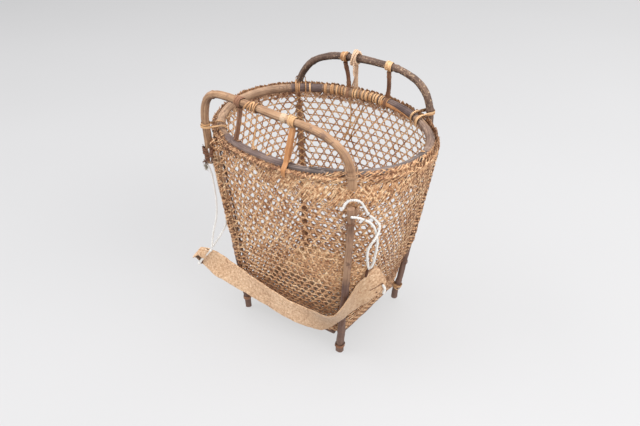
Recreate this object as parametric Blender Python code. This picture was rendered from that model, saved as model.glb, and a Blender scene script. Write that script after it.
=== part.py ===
"""Carrying basket: an open-work woven basket on four corner posts, with a thick
rim hoop, two bail handles and a plaited carrying strap hung on cotton cords.

Metres, +Z up.  The origin is on the ground, under the centre of the rim hoop.
+X runs along the strap side, and the strap hangs on the -Y side.
Every node is one object; the strap and its hanging cords are parented to an
empty on the line through the two cord knots, about which they swing.
"""

import math

import bmesh
import bpy
import numpy as np
from mathutils import Matrix

# ---------------------------------------------------------------- dimensions
MM = 0.001
GAP = 0.3                       # clearance between touching pieces, mm

HOOP_A, HOOP_B = 160.0, 125.6   # rim hoop centreline, half-length and half-width
HOOP_Z = 325.0                  # height of the hoop's centreline
HOOP_R = 6.5                    # hoop rod radius
BORDER_OUT = 9.75               # woven edge: distance outside the hoop's centreline
BORDER_HW, BORDER_HH = 2.7, 5.2  # its half thickness and half height
BORDER_FOOT = 321.6               # height of its underside

WALL_T = 2.5                    # weave thickness
BASE_SHIFT = (-2.9, -1.4)       # the feet's centre, against the rim's
FLOOR_Z = 34.5                  # underside of the woven floor
FLOOR_T = 2.6

POST_FOOT = (91.6, 80.6)        # half spacing of the feet
POST_R_FRONT, POST_R = 6.0, 4.9
POST_TOP_Z = 287.0

HANDLE_R = 5.75
STRUT_R = 3.3
RAIL_R = 3.7
CORD_R = 1.3                    # cotton cord radius
STRAP_W, STRAP_T = 38.0, 3.0    # plaited strap, width and thickness

# the strap swings about the line through the two knots it hangs from
KNOT_LEFT = (-124.8, -117.5, 280.0)
KNOT_RIGHT = (136.7, -91.0, 270.0)

# wall section at a few heights: z, half-length, half-width, squareness
WALL_KNOTS = (
    (34.8, 96.0, 86.0, 8.0),
    (80.0, 108.6, 95.2, 5.2),
    (140.0, 124.5, 106.0, 3.7),
    (200.0, 139.5, 116.2, 3.0),
    (250.0, 151.4, 123.6, 2.8),
    (285.0, 158.8, 127.4, 2.65),
    (304.0, 165.4, 131.6, 2.25),
    (321.0, 169.3, 134.9, 2.0),
)

# ---------------------------------------------------------------- clean start
for old in list(bpy.data.objects):
    bpy.data.objects.remove(old, do_unlink=True)


# ---------------------------------------------------------------- materials
def material(name, colour, rough, metallic=0.0):
    m = bpy.data.materials.new(name)
    m.use_nodes = True
    b = m.node_tree.nodes["Principled BSDF"]
    b.inputs["Base Color"].default_value = (*colour, 1.0)
    b.inputs["Roughness"].default_value = rough
    b.inputs["Metallic"].default_value = metallic
    return m


WEAVE = (0.50, 0.30, 0.16)
RIM_ROD = (0.21, 0.16, 0.13)
TAN_ROD = (0.42, 0.30, 0.20)
DARK_ROD = (0.16, 0.12, 0.10)
POST = (0.25, 0.15, 0.10)
CANE = (0.66, 0.46, 0.25)
FIBRE = (0.24, 0.13, 0.08)
COTTON = (0.85, 0.84, 0.80)
JUTE = (0.62, 0.48, 0.32)


# ---------------------------------------------------------------- mesh helpers
def add_mesh(name, verts, faces, colour, rough=0.7, smooth=True):
    """One closed mesh object from vertices in mm."""
    me = bpy.data.meshes.new(name)
    me.from_pydata([tuple(float(c) * MM for c in v) for v in verts], [], faces)
    me.validate()
    me.update()
    bm = bmesh.new()
    bm.from_mesh(me)
    if bm.calc_volume(signed=True) < 0:
        bmesh.ops.reverse_faces(bm, faces=bm.faces)
    bm.to_mesh(me)
    bm.free()
    if smooth:
        me.shade_smooth()
        me.set_sharp_from_angle(angle=math.radians(40))
    ob = bpy.data.objects.new(name, me)
    bpy.context.scene.collection.objects.link(ob)
    me.materials.append(material(name + "_mat", colour, rough))
    return ob


def smooth_path(points, count):
    """Centripetal-like spline through the points, resampled evenly."""
    p = np.asarray(points, float)
    ext = np.vstack([2 * p[0] - p[1], p, 2 * p[-1] - p[-2]])
    out = []
    for i in range(1, len(ext) - 2):
        p0, p1, p2, p3 = ext[i - 1], ext[i], ext[i + 1], ext[i + 2]
        d1 = max(np.linalg.norm(p1 - p0), 1e-6) ** 0.5
        d2 = max(np.linalg.norm(p2 - p1), 1e-6) ** 0.5
        d3 = max(np.linalg.norm(p3 - p2), 1e-6) ** 0.5
        m1 = (p1 - p0) / d1 - (p2 - p0) / (d1 + d2) + (p2 - p1) / d2
        m2 = (p2 - p1) / d2 - (p3 - p1) / (d2 + d3) + (p3 - p2) / d3
        m1, m2 = m1 * d2, m2 * d2
        for k in range(24):
            t = k / 24
            out.append(
                (2 * t**3 - 3 * t**2 + 1) * p1 + (t**3 - 2 * t**2 + t) * m1
                + (-2 * t**3 + 3 * t**2) * p2 + (t**3 - t**2) * m2
            )
    out.append(p[-1])
    out = np.array(out)
    seg = np.linalg.norm(np.diff(out, axis=0), axis=1)
    s = np.concatenate([[0], np.cumsum(seg)])
    want = np.linspace(0, s[-1], count)
    return np.stack([np.interp(want, s, out[:, i]) for i in range(3)], -1)


def unit(v):
    v = np.asarray(v, float)
    return v / max(np.linalg.norm(v), 1e-12)


def tangents(path, closed=False):
    n = len(path)
    t = []
    for i in range(n):
        a = path[(i - 1) % n] if closed or i > 0 else path[i]
        b = path[(i + 1) % n] if closed or i < n - 1 else path[i]
        t.append(unit(b - a))
    return np.array(t)


def carried_frames(path, first_normal):
    """Normals carried along an open path without twist."""
    t = tangents(path)
    n = unit(np.asarray(first_normal, float) - np.dot(first_normal, t[0]) * t[0])
    ns = [n]
    for i in range(1, len(path)):
        n = unit(n - np.dot(n, t[i]) * t[i])
        ns.append(n)
    return t, np.array(ns)


def loft(rings, closed=False):
    """Faces between equal rings of points; the ends are capped with a fan."""
    m = len(rings[0])
    verts = [v for r in rings for v in r]
    faces = []
    k = len(rings)
    for i in range(k if closed else k - 1):
        a, b = i * m, ((i + 1) % k) * m
        for j in range(m):
            q = (j + 1) % m
            faces.append((a + j, a + q, b + q, b + j))
    if not closed:
        faces.append(tuple(range(m - 1, -1, -1)))
        faces.append(tuple((k - 1) * m + j for j in range(m)))
    return verts, faces


def rod(name, path, radius, colour, sides=8, first_normal=(0.3, 1, 0.2),
        rough=0.7, flat=None):
    """A round rod along a path.  radius is a number or one per point; flat, if
    given, is (scale along the normal, scale along the binormal)."""
    path = np.asarray(path, float)
    t, n = carried_frames(path, first_normal)
    r = np.full(len(path), radius, float) if np.isscalar(radius) else np.asarray(radius, float)
    su, sv = flat if flat else (1.0, 1.0)
    rings = []
    for p, ti, ni, ri in zip(path, t, n, r):
        b = np.cross(ti, ni)
        rings.append([p + ri * (su * math.cos(a) * ni + sv * math.sin(a) * b)
                      for a in (2 * math.pi * j / sides for j in range(sides))])
    v, f = loft(rings)
    return add_mesh(name, v, f, colour, rough)


def sector(r_in, r_out, a0, a1, steps):
    """Closed outline of part of a ring, degrees."""
    outer = [(r_out * math.cos(math.radians(a)), r_out * math.sin(math.radians(a)))
             for a in np.linspace(a0, a1, steps)]
    inner = [(r_in * math.cos(math.radians(a)), r_in * math.sin(math.radians(a)))
             for a in np.linspace(a1, a0, steps)]
    return outer + inner


def section_sweep(name, centres, us, vs, outlines, colour, rough=0.7, closed=False):
    """A solid whose outline, in (u, v) at each centre, runs along the centres."""
    rings = []
    for c, u, v, o in zip(centres, us, vs, outlines):
        rings.append([np.asarray(c) + x * np.asarray(u) + y * np.asarray(v) for x, y in o])
    v, f = loft(rings, closed)
    return add_mesh(name, v, f, colour, rough)


def ring_around(name, centre, axis, r_in, r_out, length, colour, sides=14, rough=0.7,
                waves=1):
    """A wrap right round a rod: a short tube with a rounded, ridged outside."""
    axis = unit(axis)
    u = unit(np.cross(axis, (0.21, 0.35, 0.91)))
    v = np.cross(axis, u)
    c = np.asarray(centre, float)
    prof = []
    n = 2 * waves
    for k in range(n + 1):
        s = -0.5 + k / n
        bump = 1.0 if k % 2 else 0.55
        prof.append((s * length, r_in + (r_out - r_in) * bump))
    prof += [(0.5 * length, r_in), (-0.5 * length, r_in)]
    rings = []
    for j in range(sides):
        a = 2 * math.pi * j / sides
        d = math.cos(a) * u + math.sin(a) * v
        rings.append([c + axis * x + d * r for x, r in prof])
    verts, faces = loft(rings, closed=True)
    ob = add_mesh(name, verts, faces, colour, rough)
    return ob


# ---------------------------------------------------------------- basket shape
def hoop_point(t_deg, off=0.0, z=HOOP_Z):
    """Point on the rim's oval, moved outwards by off."""
    t = math.radians(t_deg)
    x, y = HOOP_A * math.cos(t), HOOP_B * math.sin(t)
    n = unit((math.cos(t) / HOOP_A, math.sin(t) / HOOP_B, 0))
    return np.array((x, y, z)) + off * n


def hoop_normal(t_deg):
    t = math.radians(t_deg)
    return unit((math.cos(t) / HOOP_A, math.sin(t) / HOOP_B, 0))


def hoop_angle(x, y):
    """Angle on the oval whose outward normal passes nearest the point."""
    t = math.degrees(math.atan2(y / HOOP_B, x / HOOP_A))
    for _ in range(20):
        p, n = hoop_point(t)[:2], hoop_normal(t)
        tang = np.array((-n[1], n[0]))
        d = np.dot(np.array((x, y)) - p, tang)
        t += math.degrees(d / 150.0)
    return t


def wall_params(z):
    k = np.array(WALL_KNOTS)
    return [float(np.interp(z, k[:, 0], k[:, i])) for i in (1, 2, 3)]


def wall_point(t, z, inset=0.0):
    """Point of the wall's outer face at section angle t and height z."""
    a, b, n = wall_params(z)
    a, b = a - inset, b - inset
    c, s = math.cos(t), math.sin(t)
    x = a * math.copysign(abs(c) ** (2 / n), c)
    y = b * math.copysign(abs(s) ** (2 / n), s)
    w = 1 - min(max((z - FLOOR_Z) / (HOOP_Z - FLOOR_Z), 0), 1)
    return np.array((x + BASE_SHIFT[0] * w, y + BASE_SHIFT[1] * w, z))


def wall_ring(z, inset, count=46):
    """Evenly spaced points round the wall."""
    dense = np.array([wall_point(2 * math.pi * i / 1440, z, inset) for i in range(1441)])
    seg = np.linalg.norm(np.diff(dense, axis=0), axis=1)
    s = np.concatenate([[0], np.cumsum(seg)])
    want = np.linspace(0, s[-1], count + 1)[:-1]
    return np.stack([np.interp(want, s, dense[:, i]) for i in range(3)], -1)


# wall: an open tapered sleeve
levels = [34.8, 58, 82, 108, 140, 172, 204, 236, 262, 286, 304, 321]
outer = [wall_ring(z, 0.0) for z in levels]
inner = [wall_ring(z, WALL_T) for z in levels]
m = len(outer[0])
verts, faces = [], []
for r in outer + inner[::-1]:
    verts += list(r)
k = len(levels) * 2
for i in range(k):
    a, b = i * m, ((i + 1) % k) * m
    for j in range(m):
        q = (j + 1) % m
        faces.append((a + j, a + q, b + q, b + j))
add_mesh("basket_wall", verts, faces, WEAVE, 0.75)

# floor: a flat woven plate inside the foot of the wall
fl0 = wall_ring(36.0, WALL_T + 2.4, 40)
lo = [np.array((p[0], p[1], FLOOR_Z + 0.4)) for p in fl0]
hi = [np.array((p[0], p[1], FLOOR_Z + 0.4 + FLOOR_T)) for p in fl0]
v, f = loft([lo, hi])
add_mesh("basket_floor", v, f, WEAVE, 0.75)

# woven edge, standing round the outside of the hoop
# it stands as high as the hoop on the far side and sinks to half of it in front
def border_half(t):
    """Half height of the woven edge at angle t."""
    f = 0.5 + 0.5 * math.sin(math.radians(t - 8.0))
    return 1.75 + (BORDER_HH - 1.75) * min(1.0, max(0.0, (f - 0.12) / 0.5)) ** 1.2


count = 60
cs, us, vs, os_ = [], [], [], []
for i in range(count):
    t = 360 * i / count
    hh = border_half(t)
    cs.append(hoop_point(t, BORDER_OUT, BORDER_FOOT + hh))
    us.append(hoop_normal(t))
    vs.append((0, 0, 1))
    os_.append([(BORDER_HW * math.cos(a), hh * math.sin(a))
                for a in (-2 * math.pi * j / 8 + math.pi / 8 for j in range(8))])
section_sweep("rim_border", cs, us, vs, os_, WEAVE, 0.75, closed=True)


# rim hoop: two rods whose flattened ends lie side by side where they overlap
def hoop_rod(name, t0, t1, lap0, lap1, side0, side1, colour, r=HOOP_R):
    """Rod from angle t0 to t1.  Over lap0 and lap1 degrees at its ends it is cut
    to just under half, on the inner (-1) or outer (+1) side."""
    n = max(12, int(abs(t1 - t0) / 5.2))
    ts = sorted(set([t0 + (t1 - t0) * i / n for i in range(n + 1)]
                    + [t0 + lap0, t0 + lap0 + 1.2, t1 - lap1, t1 - lap1 - 1.2]))
    rings = []
    for t in ts:
        if t <= t0 + lap0 + 1e-6:
            side = side0
        elif t >= t1 - lap1 - 1e-6:
            side = side1
        else:
            side = 0
        c, nrm = hoop_point(t), hoop_normal(t)
        pts = []
        for j in range(10):
            a = -2 * math.pi * j / 10 + 0.3
            u, w = r * math.cos(a), r * math.sin(a)
            if side > 0:
                u = max(u, 0.25)
            elif side < 0:
                u = min(u, -0.25)
            pts.append(c + nrm * u + np.array((0, 0, w)))
        rings.append(pts)
    v, f = loft(rings)
    return add_mesh(name, v, f, colour, 0.6)


FRONT_LAP = -74.0     # where the dark rod ends on the strap side
RIGHT_LAP = 46.0      # where it ends on the right
hoop_rod("rim_hoop_front", FRONT_LAP - 5, RIGHT_LAP + 5, 10, 10, 1, -1, RIM_ROD)
hoop_rod("rim_hoop_back", RIGHT_LAP - 5 + 0.0, 360 + FRONT_LAP + 5, 10, 10, 1, -1, TAN_ROD)

# cane binding round the back of the hoop; it grips the top, inside and bottom
ts = np.arange(86.0, 122.1, 2.25)
cs = [hoop_point(t) for t in ts]
us = [hoop_normal(t) for t in ts]
vs = [(0, 0, 1)] * len(ts)
os_ = [sector(HOOP_R + GAP, HOOP_R + (1.7 if i % 2 else 1.3), 272, 78, 8) for i in range(len(ts))]
section_sweep("rim_binding", cs, us, vs, os_, CANE, 0.6)


def hoop_tie(name, t_mid, width, colour, thick=1.5, a0=272, a1=78):
    """A short cane tie over the hoop."""
    half = math.degrees(width / 2 / 142.0)
    ts = [t_mid - half, t_mid, t_mid + half]
    section_sweep(name, [hoop_point(t) for t in ts], [hoop_normal(t) for t in ts],
                  [(0, 0, 1)] * 3,
                  [sector(HOOP_R + GAP, HOOP_R + GAP + thick, a0, a1, 8)] * 3, colour, 0.6)


# ---------------------------------------------------------------- corner posts
def post(name, sx, sy, top_xy, r, colour, top_z=POST_TOP_Z):
    fx, fy = BASE_SHIFT[0] + sx * POST_FOOT[0], BASE_SHIFT[1] + sy * POST_FOOT[1]
    foot = np.array((fx, fy, 0.0))
    top = np.array((top_xy[0], top_xy[1], top_z))
    pts = [foot, foot + (0, 0, 6)]
    bow = POST_BOW.get(name[5:], (0.0, 0.0))
    for s in (0.1, 0.25, 0.42, 0.6, 0.8, 1.0):
        b = 4 * max(s - 0.3, 0.0) * (1.0 - s) / 0.49
        pts.append(foot + (top - foot) * s + (bow[0] * b, bow[1] * b, 0))
    pts[1][:2] = foot[:2] + 0.35 * (top - foot)[:2] * 6 / top_z
    path = smooth_path(pts, 16)
    path[0] = foot
    path[1][:2] = foot[:2] + 0.5 * (path[1][:2] - foot[:2])
    rad = [r * (0.96 + 0.05 * math.sin(3.1 * i + sx)) for i in range(len(path))]
    # the foot is sawn flat on the ground
    t, n = carried_frames(path, (1, 0, 0))
    rings = []
    for i, (p, ti, ni, ri) in enumerate(zip(path, t, n, rad)):
        if i == 0:
            ti, ni = np.array((0, 0, 1.0)), np.array((1.0, 0, 0))
        b = np.cross(ti, ni)
        rings.append([p + ri * (math.cos(a) * ni + math.sin(a) * b)
                      for a in (2 * math.pi * j / 10 for j in range(10))])
    # rounded top
    tip = rings[-1]
    c = np.mean(tip, axis=0)
    rings.append([c + 0.62 * (q - c) + t[-1] * r * 0.45 for q in tip])
    v, f = loft(rings)
    add_mesh(name, v, f, colour, 0.65)
    return path


POST_TOPS = {"front": (121.6, -111.6), "left": (-111.0, -113.0),
             "right": (127.0, 107.8), "back": (-128.0, 107.6)}
POST_BOW = {"left": (5.0, -3.4)}      # how far a post's upper half bows
post_paths = {
    "front": post("post_front", 1, -1, POST_TOPS["front"], POST_R_FRONT, POST),
    "left": post("post_left", -1, -1, POST_TOPS["left"], POST_R, POST),
    "right": post("post_right", 1, 1, POST_TOPS["right"], POST_R, POST),
    "back": post("post_back", -1, 1, POST_TOPS["back"], POST_R, POST),
}


def post_at(which, z):
    p = post_paths[which]
    return np.array([np.interp(z, p[:, 2], p[:, i]) for i in range(3)])


# rails under the edge of the floor, between the posts
RAIL_Z = 30.0
bx, by = BASE_SHIFT
rails = {
    "base_rail_front": ((bx - 82, by - 78.2), (bx + 80, by - 78.2)),
    "base_rail_back": ((bx - 82, by + 78.2), (bx + 80, by + 78.2)),
    "base_rail_right": ((bx + 88.2, by - 69), (bx + 88.2, by + 69)),
    "base_rail_left": ((bx - 88.2, by - 69), (bx - 88.2, by + 69)),
}
for name, (a, b) in rails.items():
    mid = ((a[0] + b[0]) / 2, (a[1] + b[1]) / 2, RAIL_Z - 1.0)
    rod(name, smooth_path([(a[0], a[1], RAIL_Z), mid, (b[0], b[1], RAIL_Z)], 7),
        RAIL_R, POST, 8, (0, 0, 1))

# cane wraps at the feet, right round each leg just under the rails
for which, z0, r_p, col in (("front", 13.0, POST_R_FRONT, FIBRE), ("left", 21.0, POST_R, CANE),
                            ("right", 27.0, POST_R, CANE), ("back", 21.0, POST_R, CANE)):
    p = post_at(which, z0)
    d = post_at(which, z0 + 5) - post_at(which, z0 - 5)
    ring_around("foot_lashing_" + which, p, d, r_p * 1.03 + 0.4, r_p * 1.03 + 1.9, 7.0, col,
                12, 0.6, 2)

# ---------------------------------------------------------------- handles
front_pts = [(-125.9, -110.8, 275), (-127.2, -110.7, 300), (-129.2, -110.6, 326), (-131.2, -110.3, 346), (-129.0, -110, 365),
             (-121.5, -109.6, 379.5), (-108.0, -109.5, 387), (-88.0, -109.4, 389.0),
             (-46.0, -109.4, 387.2), (-8.0, -109.4, 385.2), (30.0, -109.4, 384.4),
             (60.0, -109.4, 382.2), (86.0, -109.5, 376.0), (105.5, -109.7, 365),
             (116.2, -110, 352), (121.0, -110.4, 336), (122.8, -110.8, 317.5)]
back_pts = [(-126.6, 103.6, 303), (-126.0, 104.4, 318), (-121.4, 104.2, 336), (-109.0, 103.4, 357),
            (-92.0, 104.0, 372.5), (-66.0, 105.2, 384.0), (-38.0, 106.6, 389.5),
            (-12.0, 107.9, 391.3), (14.0, 109.4, 391.6), (40.0, 110.8, 390.6), (64.0, 112.1, 386.8),
            (85.0, 113.3, 377.4), (99.0, 114.2, 363.5), (106.4, 114.8, 346.0),
            (109.0, 115.3, 322.0), (109.6, 115.6, 303.0)]
front_path = smooth_path(front_pts, 40)
back_path = smooth_path(back_pts, 38)
fr = [HANDLE_R * (1 + 0.03 * math.sin(0.9 * i)) for i in range(40)]
fr[-1] *= 1.06
rod("handle_front", front_path, fr, TAN_ROD, 10, (0, 1, 0))
rod("handle_back", back_path, [HANDLE_R * (0.96 + 0.03 * math.sin(1.1 * i)) for i in range(38)],
    DARK_ROD, 10, (0, 1, 0))


def bar_at(path, x):
    """Point and direction of a handle's bar above x."""
    top = path[path[:, 2] > 340]
    i = int(np.argmin(abs(top[:, 0] - x)))
    i = min(max(i, 1), len(top) - 2)
    a, b = top[i - 1], top[i + 1]
    s = (x - a[0]) / (b[0] - a[0])
    return a + (b - a) * s, unit(b - a)


STRUTS = {
    # name: (handle path, x on the bar, angle on the hoop, colour)
    "strut_front_left": (front_path, -64.0, -115.5, POST),
    "strut_front_right": (front_path, 27.0, -80.0, CANE),
    "strut_back_left": (back_path, -37.5, 104.5, POST),
    "strut_back_right": (back_path, 38.0, 79.0, POST),
}
for name, (path, x, t, col) in STRUTS.items():
    bar, d = bar_at(path, x)
    foot = hoop_point(t)
    top = bar - np.array((0, 0, HANDLE_R + 3.4))
    low = np.array((foot[0], foot[1], HOOP_Z + HOOP_R + 3.6))
    low[:2] += 0.0 * hoop_normal(t)[:2]
    mid = (top + low) / 2 + np.array((0.8, 0.5, 0))
    rod(name, smooth_path([low, mid, top], 6), [STRUT_R * 1.1, STRUT_R, STRUT_R * 0.96,
        STRUT_R, STRUT_R * 1.02, STRUT_R * 1.12], col, 8, (1, 0, 0))
    # wrap of cane over the bar, holding the strut's head
    ring_around(name + "_head_wrap", bar, d, HANDLE_R * 1.04 + 0.4, HANDLE_R * 1.04 + 2.3, 13.0,
                CANE if "back" in name or "right" in name else POST, 12, 0.6, 3)
    if name != "strut_back_left":
        hoop_tie(name + "_foot_tie", t, 9.0 if name != "strut_back_right" else 8.0,
                 CANE, 1.9)

# cane tie from the front bar down to the rim, beside the left strut
bar, d = bar_at(front_path, -34.0)
low = hoop_point(-101.5)
low = np.array((low[0], low[1], HOOP_Z + HOOP_R + 2.6))
rod("cane_tie_front", smooth_path([low, (low + bar) / 2 + (0.5, 0, -4), bar - np.array((0, 0, 9.2))], 6),
    1.6, CANE, 6, (1, 0, 0), 0.6)
ring_around("cane_tie_front_loop", bar, d, HANDLE_R * 1.04 + 0.4, HANDLE_R * 1.04 + 2.0, 6.0, CANE,
            12, 0.6, 1)
hoop_tie("cane_tie_front_foot", -101.5, 5.0, CANE, 1.4)

# twisted fibre cord: knotted round the back bar and drawn down to the binding
bar, d = bar_at(back_path, -14.5)
ring_around("fibre_cord_knot", bar, d, HANDLE_R * 1.04 + 0.4, HANDLE_R * 1.04 + 3.2, 11.0,
            (0.78, 0.66, 0.48), 12, 0.8, 2)
low = hoop_point(98.5)
low = np.array((low[0], low[1], HOOP_Z + HOOP_R + 4.8))
top = bar - np.array((0, 0, HANDLE_R + 6.2))
rod("fibre_cord", smooth_path([low, (low + top) / 2 + (0.6, 0.4, 0), top], 8), 2.3,
    (0.78, 0.66, 0.48), 8, (1, 0, 0), 0.85)


# lashings that tie the handle legs to the rim: two arms pass over the rim, one
# each side of the leg, and meet round the back of it
def leg_lashing(name, leg, colour, strand=1.9):
    t = hoop_angle(leg[0], leg[1])
    c, n = hoop_point(t), hoop_normal(t)
    tang = np.array((-n[1], n[0], 0))
    out = float(np.dot(leg - c, n))
    arm = HANDLE_R * 1.06 + strand + 0.6
    zt = HOOP_Z + HOOP_R + GAP + strand + 0.9
    zb = max(zt, BORDER_FOOT + 2 * BORDER_HH + strand + 0.6)
    inn = -(HOOP_R + GAP + strand + 0.3)
    half = [(inn, arm, 318.5), (inn, arm, 325.5), (inn * 0.72, arm, 331.6), (-1.0, arm, zt + 0.6),
            (7.0, arm, zb + 0.3), (out * 0.72, arm, zb + 0.3), (out, arm, zb)]
    turn = [(out + arm * math.sin(a), arm * math.cos(a), zb) for a in
            (math.pi * k / 6 for k in range(1, 6))]
    pts = half + turn + [(u, -v, z) for u, v, z in half[::-1]]
    world = [c + u * n + v * tang + np.array((0, 0, z - HOOP_Z)) for u, v, z in pts]
    rod(name, smooth_path(world, 28), strand, colour, 6, (0, 0, 1), 0.6)


leg_level = 333.5


def leg_at(path, first):
    p = path[:12] if first else path[-12:]
    o = np.argsort(p[:, 2])
    return np.array([np.interp(leg_level, p[o, 2], p[o, i]) for i in range(3)])


leg_lashing("leg_lashing_left", leg_at(front_path, True), CANE)
leg_lashing("leg_lashing_front", leg_at(front_path, False), CANE)
leg_lashing("leg_lashing_back", leg_at(back_path, True), CANE)
leg_lashing("leg_lashing_right", leg_at(back_path, False), CANE)


# dark fibre bundle right round the lower end of the left handle leg
low, high = front_path[1], front_path[3]
axis = unit(high - low)
ring_around("post_lashing_left", low + axis * ((289.5 - low[2]) / axis[2]), axis,
            HANDLE_R * 1.04 + 0.4, HANDLE_R * 1.04 + 2.9, 23.0, FIBRE, 12, 0.85, 3)

# ---------------------------------------------------------------- swinging strap
swing = bpy.data.objects.new("strap_swing_axis", None)
bpy.context.scene.collection.objects.link(swing)
swing.location = [(a + b) / 2 * MM for a, b in zip(KNOT_LEFT, KNOT_RIGHT)]


def to_swing(ob):
    """Parents the object to the swing axis, keeping it where it is."""
    off = swing.location
    ob.data.transform(Matrix.Translation(-off))
    ob.parent = swing
    return ob


# centreline of the strap, from its rolled left end, past the front of the leg,
# round it and up along the right side; with the direction across the band
STRAP = [
    # centre                      across (upper edge to lower edge)
    ((-148.3, -117.6, 100.2), (-0.56, -0.14, -0.82)),
    ((-138.6, -116.2, 97.4), (-0.47, -0.22, -0.855)),
    ((-122.0, -113.9, 89.2), (-0.30, -0.36, -0.884)),
    ((-99.0, -111.6, 82.5), (-0.23, -0.25, -0.94)),
    ((-64.0, -109.4, 73.7), (-0.21, -0.08, -0.97)),
    ((-28.5, -108.3, 66.7), (-0.17, 0.0, -0.985)),
    ((7.2, -107.8, 60.7), (-0.10, 0.02, -0.995)),
    ((31.2, -107.5, 60.8), (0.06, 0.03, -0.997)),
    ((54.9, -107.2, 63.2), (0.20, 0.08, -0.975)),
    ((67.0, -107.1, 65.9), (0.24, 0.18, -0.954)),
    ((79.6, -108.0, 72.6), (0.17, 0.433, -0.885)),
    ((94.5, -111.3, 84.6), (0.02, 0.69, -0.72)),
    ((105.9, -112.9, 95.4), (-0.10, 0.72, -0.68)),
    ((111.5, -106.9, 103.7), (-0.11, 0.66, -0.74)),
    ((114.2, -99.3, 108.8), (-0.05, 0.62, -0.78)),
    ((115.6, -89.9, 111.6), (0.03, 0.56, -0.83)),
    ((117.6, -82.0, 116.8), (0.143, 0.412, -0.90)),
    ((120.8, -74.9, 121.3), (0.331, 0.225, -0.916)),
    ((130.1, -57.8, 135.2), (0.37, 0.283, -0.885)),
    ((134.6, -48.4, 143.3), (0.37, 0.283, -0.885)),
]
ROLL_RUN = 10.2                     # flat stretch left of the cord before the roll
ROLL_A, ROLL_B = 6.0, 4.15          # half axes of the roll's centreline
ROLL_TIP = -20.0                    # angle where the band's end meets it again


def strap_line(spacing=0.6):
    """Centres and across directions along the whole band, with the distance run."""
    flat = smooth_path([s[0] for s in STRAP], 600)
    run = np.concatenate([[0], np.cumsum(np.linalg.norm(np.diff(flat, axis=0), axis=1))])
    keys = [run[int(np.argmin(np.linalg.norm(flat - np.array(s[0]), axis=1)))] for s in STRAP]
    w_keys = np.array([unit(s[1]) for s in STRAP])
    w_flat = np.stack([np.interp(run, keys, w_keys[:, i]) for i in range(3)], -1)
    w0 = w_keys[0]
    t0 = unit(flat[4] - flat[0])
    e1 = unit(t0 - np.dot(t0, w0) * w0)
    n0 = np.cross(w0, e1)
    th = np.radians(np.arange(ROLL_TIP, 270.1, 4.0))
    x = np.concatenate([-ROLL_RUN + ROLL_A * np.cos(th), np.arange(-ROLL_RUN + 1.0, -0.3, 1.0)])
    y = np.concatenate([ROLL_B + ROLL_B * np.sin(th), np.zeros(len(x) - len(th))])
    roll = flat[0] + e1 * x[:, None] + n0 * y[:, None]
    c = np.vstack([roll, flat])
    w = np.vstack([np.tile(w0, (len(roll), 1)), w_flat])
    s = np.concatenate([[0], np.cumsum(np.linalg.norm(np.diff(c, axis=0), axis=1))])
    want = np.arange(0.0, s[-1], spacing)
    want = np.append(want[:-1], s[-1])
    c = np.stack([np.interp(want, s, c[:, i]) for i in range(3)], -1)
    w = np.stack([np.interp(want, s, w[:, i]) for i in range(3)], -1)
    w /= np.linalg.norm(w, axis=1, keepdims=True)
    t = np.gradient(c, want, axis=0)
    t /= np.linalg.norm(t, axis=1, keepdims=True)
    n = np.cross(w, t)                 # faces away from the basket
    n /= np.linalg.norm(n, axis=1, keepdims=True)
    return c, w, n, t, want, s[len(roll)]


LINE_C, LINE_W, LINE_N, LINE_T, LINE_S, FLAT_FROM = strap_line()
STRAP_LEN = LINE_S[-1]


def on_strap(s):
    """Centre, across, outward and along directions at distance s along the band."""
    return tuple(np.array([np.interp(s, LINE_S, a[:, i]) for i in range(3)])
                 for a in (LINE_C, LINE_W, LINE_N, LINE_T))


def curl(s):
    """Curvature across the band, which is slightly hollowed beyond the roll."""
    return 0.0008 + 0.0045 * min(1.0, max(0.0, (s - 45.0) / 50.0))


def strap_outline(s, across=6):
    """Section of the band in (across, outward) coordinates."""
    kappa = curl(s)
    mid = []
    for j in range(across + 1):
        q = (j / across - 0.5) * STRAP_W
        a = q * kappa
        mid.append((math.sin(a) / kappa, (1 - math.cos(a)) / kappa, a))
    depth = max(p[1] for p in mid)
    front, back = [], []
    for x, y, a in mid:
        nx, ny = -math.sin(a), math.cos(a)
        front.append((x + nx * STRAP_T / 2, y - depth * 0.5 + ny * STRAP_T / 2))
        back.append((x - nx * STRAP_T / 2, y - depth * 0.5 - ny * STRAP_T / 2))
    return front + back[::-1]


steps = list(np.arange(0.0, FLAT_FROM - 8.0, 3.1)) + [FLAT_FROM - 5.0, FLAT_FROM + 2.0]
steps += list(np.linspace(FLAT_FROM + 12.0, STRAP_LEN, 29))
st = [on_strap(s) for s in steps]
cs = [s[0] for s in st]
us = [s[1] for s in st]
vs = [s[2] for s in st]
os_ = [strap_outline(s) for s in steps]
to_swing(section_sweep("carrying_strap", cs, us, vs, os_, JUTE, 0.9))


def cord(name, points, count, radius=CORD_R, colour=COTTON, swinging=True):
    """A cord: a curve with a round bevel and closed ends, on evenly spaced
    points of a smooth curve."""
    path = smooth_path(points, count) * MM
    cu = bpy.data.curves.new(name, "CURVE")
    cu.dimensions = "3D"
    cu.bevel_depth = radius * MM
    cu.bevel_resolution = 2
    cu.use_fill_caps = True
    sp = cu.splines.new("POLY")
    sp.points.add(len(path) - 1)
    off = swing.location if swinging else (0, 0, 0)
    for q, p in zip(sp.points, path):
        q.co = (p[0] - off[0], p[1] - off[1], p[2] - off[2], 1.0)
    cu.materials.append(material(name + "_mat", colour, 0.9))
    ob = bpy.data.objects.new(name, cu)
    bpy.context.scene.collection.objects.link(ob)
    if swinging:
        ob.parent = swing
    return ob


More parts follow.
